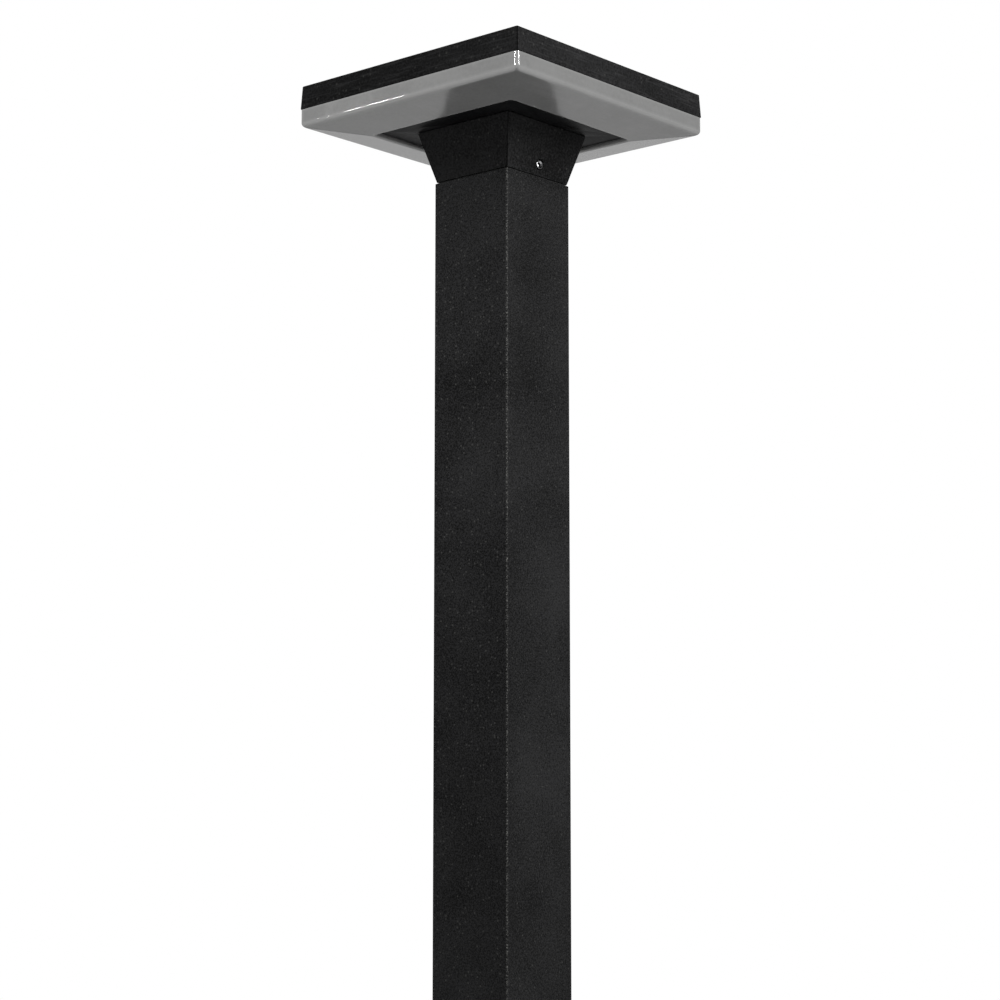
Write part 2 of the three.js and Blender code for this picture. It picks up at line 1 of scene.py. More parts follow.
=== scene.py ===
"""Square bollard light, finished for rendering.

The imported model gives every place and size, in metres, with +Z up and the post's axis on
x = y = 0. The parts that show are rebuilt here with rounded edges, threads, weld ripple and
LED packages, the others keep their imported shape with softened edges, and all of them get
procedural finishes.
"""
import logging
import math
from dataclasses import dataclass
from enum import Enum
from functools import cache
from typing import Callable, Iterable, Sequence

import bmesh
import bpy
from mathutils import Matrix, Vector


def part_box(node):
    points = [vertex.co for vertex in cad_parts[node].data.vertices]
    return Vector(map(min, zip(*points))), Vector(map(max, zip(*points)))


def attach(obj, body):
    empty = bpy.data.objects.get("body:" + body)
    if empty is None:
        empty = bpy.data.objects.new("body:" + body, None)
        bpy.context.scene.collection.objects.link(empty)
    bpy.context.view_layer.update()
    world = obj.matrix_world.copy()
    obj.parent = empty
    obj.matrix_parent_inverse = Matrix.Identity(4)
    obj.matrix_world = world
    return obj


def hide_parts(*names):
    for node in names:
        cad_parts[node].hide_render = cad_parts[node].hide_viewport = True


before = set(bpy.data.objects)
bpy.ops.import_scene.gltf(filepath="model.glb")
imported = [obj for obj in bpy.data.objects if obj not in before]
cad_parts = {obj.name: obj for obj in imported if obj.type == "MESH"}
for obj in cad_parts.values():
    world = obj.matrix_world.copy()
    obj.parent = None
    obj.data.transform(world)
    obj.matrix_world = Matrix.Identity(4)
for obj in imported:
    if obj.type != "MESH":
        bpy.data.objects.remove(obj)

MM = 0.001
TONE_LOW, TONE_HIGH = 0.3, 0.7
LOG = logging.getLogger("bollard_light")

Colour = tuple[float, float, float]
Point = tuple[float, float, float]
Ring = list[Point]
EditMesh = bmesh.types.BMesh
Material = bpy.types.Material
NodeTree = bpy.types.NodeTree
Socket = bpy.types.NodeSocket


class Body(str, Enum):
    """The two bodies that pieces ride on."""

    POST = "standing_post"
    HEAD = "lamp_head"


class Slot(str, Enum):
    """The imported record's material slots."""

    COAT = "black_coat"
    PLATE = "dark_plate"
    OPAL = "opal_acrylic"
    STAINLESS = "stainless"
    ALUMINIUM = "bare_aluminium"
    RUBBER = "rubber"
    WHITE = "white_paint"
    BOARD = "circuit_board"
    CASE = "driver_case"
    TERMINAL = "terminal_plastic"
    NYLON = "black_nylon"
    EARTH = "earth_sleeve"
    LEAD = "lead_sleeve"


class Quarter(Enum):
    """The sides of the square, in quarter turns from the front."""

    FRONT = 0
    RIGHT = 1
    BACK = 2
    LEFT = 3


# ------------------------------------------------------------------ shader graphs


class Graph:
    """Adds and joins the nodes of one shader tree."""

    def __init__(self, tree: NodeTree) -> None:
        """Keeps the tree that the nodes go into."""
        self.tree = tree

    def add(self, kind: str, **settings: object) -> bpy.types.Node:
        """Adds one node.

        Args:
            kind: The node's type name.
            settings: Properties to set on it.

        Returns:
            The new node.
        """
        node = self.tree.nodes.new(kind)
        for name, value in settings.items():
            setattr(node, name, value)
        return node

    def feed(self, socket: Socket, value: object) -> None:
        """Joins a socket to another one, or sets its plain value."""
        if isinstance(value, Socket):
            self.tree.links.new(value, socket)
        elif socket.type == "RGBA" and len(value) == 3:
            socket.default_value = (*value, 1.0)
        else:
            socket.default_value = value

    def math(self, operation: str, first: object, second: object = 0.0) -> Socket:
        """Adds a math node and returns its output."""
        node = self.add("ShaderNodeMath", operation=operation)
        self.feed(node.inputs[0], first)
        self.feed(node.inputs[1], second)
        return node.outputs[0]

    def times(self, first: object, second: object) -> Socket:
        """Returns the product of two values."""
        return self.math("MULTIPLY", first, second)

    def plus(self, first: object, second: object) -> Socket:
        """Returns the sum of two values."""
        return self.math("ADD", first, second)

    def minus(self, first: object, second: object) -> Socket:
        """Returns the first value less the second."""
        return self.math("SUBTRACT", first, second)

    def spread(self, value: object, low: float, high: float,
               to_low: object = 0.0, to_high: object = 1.0) -> Socket:
        """Maps low..high onto to_low..to_high and holds the ends.

        Args:
            value: The number or socket to map.
            low: Where the input range starts.
            high: Where the input range ends.
            to_low: The output at low.
            to_high: The output at high.

        Returns:
            The mapped value's socket.
        """
        node = self.add("ShaderNodeMapRange", interpolation_type="SMOOTHSTEP")
        for socket, entry in zip(node.inputs[:5], (value, low, high, to_low, to_high)):
            self.feed(socket, entry)
        return node.outputs[0]

    def mix(self, factor: object, first: object, second: object) -> Socket:
        """Blends two colours by a factor and returns the result's socket."""
        node = self.add("ShaderNodeMix", data_type="RGBA")
        self.feed(node.inputs[0], factor)
        self.feed(node.inputs[6], first)
        self.feed(node.inputs[7], second)
        return node.outputs[2]

    def noise(self, vector: object, scale: object, detail: float = 2.0,
              roughness: float = 0.5) -> Socket:
        """Adds a noise texture and returns its value.

        Args:
            vector: Where it is read.
            scale: Cells per metre.
            detail: Number of finer layers.
            roughness: How strong the finer layers are.

        Returns:
            The noise value's socket.
        """
        node = self.add("ShaderNodeTexNoise")
        self.feed(node.inputs["Vector"], vector)
        self.feed(node.inputs["Scale"], scale)
        node.inputs["Detail"].default_value = detail
        node.inputs["Roughness"].default_value = roughness
        return node.outputs["Fac"]

    def place(self) -> Socket:
        """Returns the object's own coordinates, in metres."""
        return self.add("ShaderNodeTexCoord").outputs["Object"]

    def rise(self) -> Socket:
        """Returns how far the surface faces up, from -1 to 1."""
        facing = self.add("ShaderNodeSeparateXYZ")
        self.feed(facing.inputs[0], self.add("ShaderNodeNewGeometry").outputs["Normal"])
        return facing.outputs["Z"]

    def bump(self, height: object, strength: float, distance: float) -> Socket:
        """Adds a bump node.

        Args:
            height: The height's socket.
            strength: How much of it shows.
            distance: The height of a full step, in metres.

        Returns:
            The bumped normal's socket.
        """
        node = self.add("ShaderNodeBump")
        node.inputs["Strength"].default_value = strength
        node.inputs["Distance"].default_value = distance
        self.feed(node.inputs["Height"], height)
        return node.outputs[0]


class EffectGroup:
    """A shader node group with named number inputs and named outputs."""

    def __init__(self, name: str, inputs: dict[str, float], outputs: Sequence[str]) -> None:
        """Makes the empty group.

        Args:
            name: The group's name.
            inputs: Input names with their defaults.
            outputs: Output names; all are plain values.
        """
        self.tree = bpy.data.node_groups.new(name, "ShaderNodeTree")
        for entry, default in inputs.items():
            socket = self.tree.interface.new_socket(
                name=entry, in_out="INPUT", socket_type="NodeSocketFloat")
            socket.default_value = default
        for entry in outputs:
            self.tree.interface.new_socket(
                name=entry, in_out="OUTPUT", socket_type="NodeSocketFloat")
        self.graph = Graph(self.tree)
        self.inputs = self.graph.add("NodeGroupInput").outputs
        self.outputs = self.graph.add("NodeGroupOutput").inputs

    def result(self, name: str, value: Socket) -> None:
        """Joins a value to one of the group's outputs."""
        self.graph.feed(self.outputs[name], value)


def stretched(group: EffectGroup, axes: Sequence[int]) -> Socket:
    """Draws out a group's pattern along some axes.

    Args:
        group: The group, which has an input named Stretch.
        axes: Numbers of the axes that are drawn out.

    Returns:
        The coordinates to read the pattern at.
    """
    graph = group.graph
    parts = graph.add("ShaderNodeSeparateXYZ")
    graph.feed(parts.inputs[0], graph.place())
    joined = graph.add("ShaderNodeCombineXYZ")
    for axis, part in enumerate(parts.outputs):
        value = graph.times(part, group.inputs["Stretch"]) if axis in axes else part
        graph.feed(joined.inputs[axis], value)
    return joined.outputs[0]


@cache
def powder_grain() -> NodeTree:
    """Builds the fine pebbled grain of powder coat, with a few paler specks.

    Returns:
        The group, with outputs Height, Tone and Speck.
    """
    group = EffectGroup("powder_grain", {"Scale": 900.0, "Specks": 0.2}, ("Height", "Tone", "Speck"))
    graph, place = group.graph, group.graph.place()
    coarse_share, dot_share, cloud_scale = 0.22, 0.42, 14.0
    fine = graph.noise(place, group.inputs["Scale"], 3.0, 0.6)
    coarse = graph.noise(place, graph.times(group.inputs["Scale"], coarse_share), 2.0, 0.5)
    group.result("Height", graph.plus(fine, graph.times(coarse, 0.6)))
    cloud = graph.noise(place, cloud_scale, 2.0, 0.5)
    group.result("Tone", graph.plus(graph.times(fine, 0.75),
                                    graph.times(cloud, 0.25)))
    dots = graph.add("ShaderNodeTexVoronoi")
    graph.feed(dots.inputs["Vector"], place)
    graph.feed(dots.inputs["Scale"], graph.times(group.inputs["Scale"], dot_share))
    near = graph.spread(dots.outputs["Distance"], 0.16, 0.34, 1.0, 0.0)
    pick = graph.add("ShaderNodeSeparateColor")
    graph.feed(pick.inputs[0], dots.outputs["Color"])
    floor = graph.minus(1.0, group.inputs["Specks"])
    chosen = graph.math("GREATER_THAN", pick.outputs[0], floor)
    strength = graph.times(pick.outputs[1], chosen)
    group.result("Speck", graph.times(near, strength))
    return group.tree


@cache
def edge_wear_and_highlight() -> NodeTree:
    """Builds a broken mask along the piece's marked edges where its surface stands upright: rubbed wear on
    bare metal and mouldings, and on the powder coats a painted highlight along their upright corners as well
    as wear.

    Returns:
        The group, with output Mask.
    """
    group = EffectGroup("edge_wear_and_highlight", {"Edge": 0.0, "Scale": 300.0, "Amount": 0.5}, ("Mask",))
    graph = group.graph
    unmarked_level, mark_drop, contrast, narrowing = 0.78, 0.45, 6.0, 8.0
    breakup = graph.noise(graph.place(), group.inputs["Scale"], 4.0, 0.65)
    level = graph.minus(unmarked_level, graph.times(group.inputs["Amount"], mark_drop))
    broken = graph.times(graph.minus(breakup, level), contrast)
    held = graph.add("ShaderNodeClamp")
    graph.feed(held.inputs[0], broken)
    ridge = graph.math("POWER", group.inputs["Edge"], narrowing)
    # Only upright surfaces keep the mask, which keeps the painted highlight off level edges such as the
    # post's top.
    tilt = graph.math("ABSOLUTE", graph.rise())
    upright = graph.spread(tilt, 0.1, 0.35, 1.0, 0.0)
    ridge = graph.times(ridge, upright)
    group.result("Mask", graph.times(held.outputs[0], ridge))
    return group.tree


@cache
def settled_dust() -> NodeTree:
    """Builds a mask of dust and rain marks on surfaces that face up.

    Returns:
        The group, with output Mask.
    """
    group = EffectGroup("settled_dust", {"Amount": 0.3, "Scale": 24.0}, ("Mask",))
    graph = group.graph
    up = graph.spread(graph.rise(), 0.35, 0.98)
    patch_share, film_share = 0.7, 0.3
    patch = graph.spread(graph.noise(graph.place(), group.inputs["Scale"], 5.0, 0.62), 0.38, 0.7)
    film = graph.plus(graph.times(patch, patch_share), film_share)
    group.result("Mask", graph.times(graph.times(up, film),
                                    group.inputs["Amount"]))
    return group.tree


@cache
def drawn_grain() -> NodeTree:
    """Builds the fine lines that rolling, drawing or turning leaves in bare metal.

    Returns:
        The group, with outputs Height and Tone.
    """
    group = EffectGroup("drawn_grain", {"Scale": 900.0, "Stretch": 0.03}, ("Height", "Tone"))
    graph = group.graph
    lines = graph.noise(stretched(group, (1,)), group.inputs["Scale"], 3.0, 0.6)
    cloud_scale = 60.0
    cloud = graph.noise(graph.place(), cloud_scale, 3.0, 0.55)
    group.result("Height", lines)
    group.result("Tone", graph.plus(graph.times(lines, 0.6),
                                    graph.times(cloud, 0.4)))
    return group.tree


@cache
def level_lines() -> NodeTree:
    """Builds faint level streaks, as sanding under a coat leaves.

    Returns:
        The group, with output Tone.
    """
    group = EffectGroup("level_lines", {"Scale": 700.0, "Stretch": 0.05}, ("Tone",))
    streaks = group.graph.noise(stretched(group, (0, 1)), group.inputs["Scale"], 3.0, 0.55)
    group.result("Tone", streaks)
    return group.tree


@cache
def moulded_grain() -> NodeTree:
    """Builds the soft eggshell surface and flow clouding of moulded plastic and rubber.

    Returns:
        The group, with outputs Height and Tone.
    """
    group = EffectGroup("moulded_grain", {"Scale": 700.0}, ("Height", "Tone"))
    graph, place = group.graph, group.graph.place()
    skin = graph.noise(place, group.inputs["Scale"], 2.0, 0.45)
    flow_share = 0.05
    flow = graph.noise(place, graph.times(group.inputs["Scale"], flow_share), 4.0, 0.55)
    group.result("Height", skin)
    group.result("Tone", graph.plus(graph.times(skin, 0.35),
                                    graph.times(flow, 0.65)))
    return group.tree


# ------------------------------------------------------------------ finishes


class Sheet:
    """One material being drawn up: its graph, its shader and the effects placed in it."""

    def __init__(self, name: str, roughness: float, metallic: float = 0.0) -> None:
        """Makes the material with a Principled shader joined to its output.

        Args:
            name: The material's name.
            roughness: The shader's roughness where nothing feeds it.
            metallic: The shader's metallic value.
        """
        self.material = bpy.data.materials.new(name)
        self.material.use_nodes = True
        tree = self.material.node_tree
        tree.nodes.clear()
        self.graph = Graph(tree)
        self.shader = self.graph.add("ShaderNodeBsdfPrincipled")
        output = self.graph.add("ShaderNodeOutputMaterial")
        tree.links.new(self.shader.outputs[0], output.inputs[0])
        self.set("Roughness", roughness)
        self.set("Metallic", metallic)

    def set(self, socket: str, value: object) -> None:
        """Sets or joins one of the shader's sockets."""
        self.graph.feed(self.shader.inputs[socket], value)

    def effect(self, group: NodeTree, **values: object) -> bpy.types.bpy_prop_collection:
        """Places a shared effect.

        Args:
            group: The effect's node group.
            values: Its inputs by name.

        Returns:
            The outputs of the placed effect.
        """
        node = self.graph.add("ShaderNodeGroup", node_tree=group)
        for name, value in values.items():
            self.graph.feed(node.inputs[name], value)
        return node.outputs

    def mottled(self, tone: Socket, colour: Colour, dark: float, pale: float,
                reach: float = 0.2) -> Socket:
        """Varies a colour with an effect's tone.

        Args:
            tone: The tone, which lies about 0.5.
            colour: The mean colour.
            dark: The factor where the tone is low.
            pale: The factor where it is high.
            reach: How far from 0.5 the tone has its full effect.

        Returns:
            The varied colour's socket.
        """
        share = self.graph.spread(tone, 0.5 - reach, 0.5 + reach)
        return self.graph.mix(share, tinted(colour, dark), tinted(colour, pale))

    def worn_and_highlit_edges(self, amount: float, scale: float = 300.0) -> Socket:
        """Returns the mask of this piece's rubbed edges, which on the powder coats is also a painted
        highlight.
        """
        edge = self.graph.add("ShaderNodeAttribute", attribute_name="edge").outputs["Fac"]
        return self.effect(edge_wear_and_highlight(), Edge=edge, Amount=amount, Scale=scale)["Mask"]

    def dust(self, amount: float) -> Socket:
        """Returns the mask of dust on this piece."""
        return self.effect(settled_dust(), Amount=amount)["Mask"]


def tinted(colour: Colour, factor: float) -> Colour:
    """Returns the colour made lighter or darker by a factor."""
    return tuple(min(1.0, channel * factor) for channel in colour)


@dataclass(frozen=True)
class PowderCoat:
    """Textured black or dark grey powder coat, with a painted highlight along its upright corners."""

    name: str
    colour: Colour
    roughness: float = 0.5
    grain_scale: float = 620.0
    grain_depth: float = 0.2 * MM
    specks: float = 0.3
    speck_colour: Colour = (0.03, 0.03, 0.029)
    # The wear amount, its scale and the edge colour paint paler upright corners: partly wear, partly a
    # painted highlight.
    wear: float = 0.35
    wear_and_highlight_scale: float = 300.0
    worn_and_highlight_colour: Colour = (0.04, 0.04, 0.04)
    dust_amount: float = 0.22
    dust_colour: Colour = (0.1, 0.095, 0.085)
    dust_roughness: float = 0.5
    roughness_swing: float = 0.07
    specular: float = 0.07
    bumpiness: float = 0.75
    streaks: float = 0.0
    streak_tint: float = 4.0

    def make(self) -> Material:
        """Returns the finished material."""
        sheet = Sheet(self.name, self.roughness)
        graph = sheet.graph
        grain = sheet.effect(powder_grain(), Scale=self.grain_scale, Specks=self.specks)
        base = sheet.mottled(grain["Tone"], self.colour, 0.2, 2.2, 0.16)
        if self.streaks:
            lines = graph.spread(sheet.effect(level_lines())["Tone"], 0.5, 0.68, 0.0, self.streaks)
            base = graph.mix(lines, base, tinted(self.colour, self.streak_tint))
        base = graph.mix(grain["Speck"], base, self.speck_colour)
        # Paler upright corners: a painted highlight mixed with wear.
        base = graph.mix(sheet.worn_and_highlit_edges(self.wear, self.wear_and_highlight_scale), base, self.worn_and_highlight_colour)
        dust = sheet.dust(self.dust_amount)
        sheet.set("Base Color", graph.mix(dust, base, self.dust_colour))
        rough = graph.spread(grain["Tone"], TONE_LOW, TONE_HIGH, self.roughness - self.roughness_swing,
                             self.roughness + self.roughness_swing)
        sheet.set("Roughness", graph.plus(rough, graph.times(dust, self.dust_roughness)))
        sheet.set("Specular IOR Level", self.specular)
        sheet.set("Normal", graph.bump(grain["Height"], self.bumpiness, self.grain_depth))
        return sheet.material


@dataclass(frozen=True)
class OpalAcrylic:
    """Opal sheet, unlit: greyish, with a painted highlight on its rounded bends, and glossiest on its
    upright sides.
    """

    name: str = "opal_acrylic"
    colour: Colour = (0.108, 0.108, 0.107)
    bend_highlight_colour: Colour = (0.19, 0.19, 0.188)
    bend_highlight_share: float = 0.35
    cloud_scale: float = 420.0
    streak_scale: float = 90.0
    streak_stretch: float = 0.06
    streak_share: float = 0.2
    streak_tint: float = 1.5
    roughness: float = 0.15
    dull_roughness: float = 0.18
    upright_roughness: float = 0.022
    dust_amount: float = 0.12
    dust_colour: Colour = (0.3, 0.29, 0.27)
    dust_roughness: float = 0.8
    refraction: float = 1.49
    bumpiness: float = 0.02
    ripple_depth: float = 0.01 * MM

    def make(self) -> Material:
        """Returns the finished material."""
        sheet = Sheet(self.name, self.roughness)
        graph = sheet.graph
        cloud = sheet.effect(moulded_grain(), Scale=self.cloud_scale)
        streak = sheet.effect(drawn_grain(), Scale=self.streak_scale, Stretch=self.streak_stretch)
        body = sheet.mottled(cloud["Tone"], self.colour, 0.92, 1.08)
        pale = graph.spread(streak["Tone"], 0.52, 0.7, 0.0, self.streak_share)
        body = graph.mix(pale, body, tinted(self.colour, self.streak_tint))
        # A paler colour on the rounded bends, read from the edge marks, is a painted highlight.
        bend_highlight_mask = graph.add("ShaderNodeAttribute", attribute_name="edge").outputs["Fac"]
        body = graph.mix(graph.times(bend_highlight_mask, self.bend_highlight_share), body, self.bend_highlight_colour)
        dust = sheet.dust(self.dust_amount)
        sheet.set("Base Color", graph.mix(dust, body, self.dust_colour))
        rough = graph.spread(streak["Tone"], 0.4, 0.7, self.roughness, self.dull_roughness)
        rough = graph.plus(rough, graph.times(dust, self.dust_roughness))
        upright = graph.spread(graph.rise(), -0.9, -0.5)
        rough = graph.math("MAXIMUM", graph.minus(rough, upright), self.upright_roughness)
        sheet.set("Roughness", rough)
        sheet.set("IOR", self.refraction)
        sheet.set("Normal", graph.bump(cloud["Height"], self.bumpiness, self.ripple_depth))
        return sheet.material


@dataclass(frozen=True)
class BareMetal:
    """Uncoated metal with drawn lines and rubbed edges."""

    name: str
    colour: Colour
    roughness: float
    grain_scale: float = 1200.0
    grain_depth: float = 0.03 * MM
    stretch: float = 0.04
    wear: float = 0.6
    worn_tint: float = 1.3
    bumpiness: float = 0.35

    def make(self) -> Material:
        """Returns the finished material."""
        sheet = Sheet(self.name, self.roughness, 1.0)
        graph = sheet.graph
        grain = sheet.effect(drawn_grain(), Scale=self.grain_scale, Stretch=self.stretch)
        base = sheet.mottled(grain["Tone"], self.colour, 0.78, 1.12)
        base = graph.mix(sheet.worn_and_highlit_edges(self.wear), base, tinted(self.colour, self.worn_tint))
        sheet.set("Base Color", base)
        sheet.set("Roughness", graph.spread(grain["Tone"], 0.25, 0.75,
                                            self.roughness - 0.08, self.roughness + 0.12))
        sheet.set("Normal", graph.bump(grain["Height"], self.bumpiness, self.grain_depth))
        return sheet.material


@dataclass(frozen=True)
class Moulding:
    """Moulded plastic or rubber."""

    name: str
    colour: Colour
    roughness: float = 0.5
    grain_scale: float = 700.0
    grain_depth: float = 0.05 * MM
    scuffs: float = 0.3
    scuff_scale: float = 500.0
    bumpiness: float = 0.4

    def make(self) -> Material:
        """Returns the finished material."""
        sheet = Sheet(self.name, self.roughness)
        graph = sheet.graph
        grain = sheet.effect(moulded_grain(), Scale=self.grain_scale)
        base = sheet.mottled(grain["Tone"], self.colour, 0.86, 1.12)
        pale = tuple(min(1.0, channel * 1.25 + 0.03) for channel in self.colour)
        sheet.set("Base Color", graph.mix(sheet.worn_and_highlit_edges(self.scuffs, self.scuff_scale), base, pale))
        sheet.set("Roughness", graph.spread(grain["Tone"], TONE_LOW, TONE_HIGH,
                                            self.roughness - 0.06, self.roughness + 0.08))
        sheet.set("Normal", graph.bump(grain["Height"], self.bumpiness, self.grain_depth))
        return sheet.material


@dataclass(frozen=True)
class BoardMask:
    """White solder mask over copper tracks, with the tracks just showing as a raised pattern."""

    name: str = "circuit_board"
    colour: Colour = (0.7, 0.72, 0.69)
    track_pitch: float = 3.2 * MM

    def make(self) -> Material:
        """Returns the finished material."""
        sheet = Sheet(self.name, 0.35)
        graph = sheet.graph
        grain = sheet.effect(moulded_grain(), Scale=900.0)
        bricks = graph.add("ShaderNodeTexBrick", offset=0.5)
        graph.feed(bricks.inputs["Vector"], graph.place())
        graph.feed(bricks.inputs["Scale"], 1.0 / (self.track_pitch * 10))
        bricks.inputs["Mortar Size"].default_value = 0.03
        track = bricks.outputs["Fac"]
        base = graph.mix(track, self.colour, tinted(self.colour, 0.8))
        base = graph.mix(graph.spread(grain["Tone"], 0.35, 0.75, 0.0, 0.25), base, (0.62, 0.63, 0.58))
        sheet.set("Base Color", base)
        sheet.set("Normal", graph.bump(track, 0.3, 0.04 * MM))
        return sheet.material


@dataclass(frozen=True)
class Phosphor:
    """The yellow silicone over an LED's die."""

    name: str = "led_phosphor"
    colour: Colour = (0.78, 0.56, 0.06)

    def make(self) -> Material:
        """Returns the finished material."""
        sheet = Sheet(self.name, 0.3)
        graph = sheet.graph
        grain = sheet.effect(moulded_grain(), Scale=2400.0)
        sheet.set("Base Color", sheet.mottled(grain["Tone"], self.colour, 0.85, 1.15))
        sheet.set("Normal", graph.bump(grain["Height"], 0.3, 0.03 * MM))
        return sheet.material


@dataclass(frozen=True)
class StripedSleeve:
    """Insulation of a lead, plain or with a second colour spiralling round it."""

    name: str
    colour: Colour
    stripe: Colour
    share: float = 0.0

    def make(self) -> Material:
        """Returns the finished material."""
        sheet = Sheet(self.name, 0.42)
        graph = sheet.graph
        grain = sheet.effect(moulded_grain(), Scale=1500.0)
        wave = graph.add("ShaderNodeTexWave", wave_type="BANDS", bands_direction="DIAGONAL")
        graph.feed(wave.inputs["Vector"], graph.place())
        wave.inputs["Scale"].default_value = 60.0
        wave.inputs["Distortion"].default_value = 0.6
        band = graph.spread(wave.outputs["Fac"], 0.97 - self.share, 1.0 - self.share)
        base = graph.mix(graph.times(band, 1.0 if self.share else 0.12),
                         self.colour, self.stripe)
        base = graph.mix(graph.spread(grain["Tone"], 0.4, 0.8, 0.0, 0.3), base, tinted(self.colour, 1.4))
        sheet.set("Base Color", base)
        sheet.set("Normal", graph.bump(grain["Height"], 0.3, 0.03 * MM))
        return sheet.material


@dataclass(frozen=True)
class PaleFloor:
    """The studio floor's matt paper."""

    name: str = "pale_floor"

    def make(self) -> Material:
        """Returns the finished material."""
        sheet = Sheet(self.name, 0.85)
        graph = sheet.graph
        tooth = sheet.effect(moulded_grain(), Scale=160.0)
        sheet.set("Base Color", graph.mix(tooth["Tone"], (0.84, 0.84, 0.84), (0.88, 0.88, 0.88)))
        sheet.set("Specular IOR Level", 0.2)
        sheet.set("Normal", graph.bump(tooth["Height"], 0.1, 0.2 * MM))
        return sheet.material


@dataclass(frozen=True)
class Finish:
    """A material and the record's slot that it stands in."""

    material: Material
    slot: Slot


class Finishes:
    """Every finish of the light, made once."""

    def __init__(self) -> None:
        """Makes the materials."""
        self.coat = Finish(PowderCoat("black_powder_coat", (0.0075, 0.0075, 0.0077)).make(), Slot.COAT)
        # The post's coat paints a bright, broken highlight line down its upright corners in a pale edge
        # colour.
        self.post_coat_highlit = Finish(PowderCoat(
            "post_powder_coat_highlit", (0.0075, 0.0075, 0.0077), grain_scale=780.0, wear=0.6, wear_and_highlight_scale=900.0,
            worn_and_highlight_colour=(0.105, 0.105, 0.1)).make(), Slot.COAT)
        self.cap_coat = Finish(PowderCoat(
            "cap_powder_coat", (0.0066, 0.0066, 0.0068), streaks=0.5).make(), Slot.COAT)
        # The plate's coat is darker than the other coats, partly as painted shade for the recess in front of
        # the neck.
        self.plate = Finish(PowderCoat("dark_plate_coat", (0.003, 0.003, 0.0032), roughness=0.42,
                                       specks=0.05, dust_amount=0.0).make(), Slot.PLATE)
        self.opal = Finish(OpalAcrylic().make(), Slot.OPAL)
        self.stainless = Finish(
            BareMetal("stainless_steel", (0.6, 0.6, 0.6), roughness=0.22).make(), Slot.STAINLESS)
        self.dark_steel = Finish(
            BareMetal("set_screw_steel", (0.28, 0.28, 0.285), roughness=0.17).make(), Slot.STAINLESS)
        self.aluminium = Finish(
            BareMetal("mill_aluminium", (0.55, 0.56, 0.57), roughness=0.38, grain_scale=700.0).make(),
            Slot.ALUMINIUM)
        self.brass = Finish(
            BareMetal("clamp_brass", (0.62, 0.46, 0.2), roughness=0.3).make(), Slot.STAINLESS)
        self.tin = Finish(
            BareMetal("tinned_pad", (0.68, 0.68, 0.66), roughness=0.3, grain_scale=1600.0).make(),
            Slot.BOARD)
        self.rubber = Finish(
            Moulding("gasket_rubber", (0.012, 0.012, 0.012), roughness=0.75, grain_scale=900.0).make(),
            Slot.RUBBER)
        self.white = Finish(
            Moulding("reflector_white", (0.8, 0.8, 0.78), roughness=0.35).make(), Slot.WHITE)
        self.case = Finish(Moulding("driver_case", (0.58, 0.59, 0.57), roughness=0.45).make(), Slot.CASE)
        self.cream = Finish(
            Moulding("terminal_nylon", (0.68, 0.65, 0.57), roughness=0.45).make(), Slot.TERMINAL)
        self.nylon = Finish(
            Moulding("gland_nylon", (0.014, 0.014, 0.015), roughness=0.5).make(), Slot.NYLON)
        self.package = Finish(
            Moulding("led_package", (0.82, 0.82, 0.8), roughness=0.4, grain_scale=1800.0).make(), Slot.BOARD)
        self.board = Finish(BoardMask().make(), Slot.BOARD)
        self.phosphor = Finish(Phosphor().make(), Slot.BOARD)
        self.earth = Finish(StripedSleeve(
            "earth_sleeve", (0.08, 0.3, 0.03), (0.75, 0.62, 0.04), share=0.45).make(), Slot.EARTH)
        self.grey_lead = Finish(
            StripedSleeve("grey_sleeve", (0.22, 0.23, 0.24), (0.3, 0.31, 0.32)).make(), Slot.LEAD)


# ------------------------------------------------------------------ mesh making


@dataclass(frozen=True)
class Line:
    """One line of a square section: half the square's width, its corner radius and its height."""

    half: float
    corner: float
    z: float


def rounded_square(half: float, corner: float, steps: int, hold: float) -> list[tuple[float, float]]:
    """Draws a square with rounded corners, with extra points that hold the flats flat.

    Args:
        half: Half the width.
        corner: Radius of the corners.
        steps: Segments in each corner.
        hold: Distance of the extra points from each corner's ends.

    Returns:
        The points, counter-clockwise.
    """
    points = []
    inset = half - corner
    margin = min(hold, inset * 0.3)
    for quarter in range(4):
        turn = quarter * math.pi / 2
        out = Vector((math.cos(turn), math.sin(turn)))
        along = Vector((-out.y, out.x))
        centre = out * inset + along * inset
        for step in range(steps + 1):
            angle = turn + step / steps * math.pi / 2
            points.append(tuple(centre + corner * Vector((math.cos(angle), math.sin(angle)))))
        corner_end = centre + corner * along
        points.append(tuple(corner_end - margin * out))
        points.append(tuple(corner_end - (2 * inset - margin) * out))
    return points


def held(section: Sequence[Line], looped: bool, hold: float) -> list[Line]:
    """Adds a line near both ends of each long stretch of a section.

    Args:
        section: The section's lines.
        looped: Whether the last line joins the first.
        hold: Distance of the extra lines from the ends.

    Returns:
        The fuller section.
    """
    lines = []
    count = len(section)
    for index, line in enumerate(section):
        lines.append(line)
        if index == count - 1 and not looped:
            break
        after = section[(index + 1) % count]
        length = math.hypot(after.half - line.half, after.z - line.z)
        if length > 3 * hold:
            for share in (hold / length, 1 - hold / length):
                lines.append(Line(
                    line.half + (after.half - line.half) * share,
                    line.corner + (after.corner - line.corner) * share,
                    line.z + (after.z - line.z) * share))
    return lines


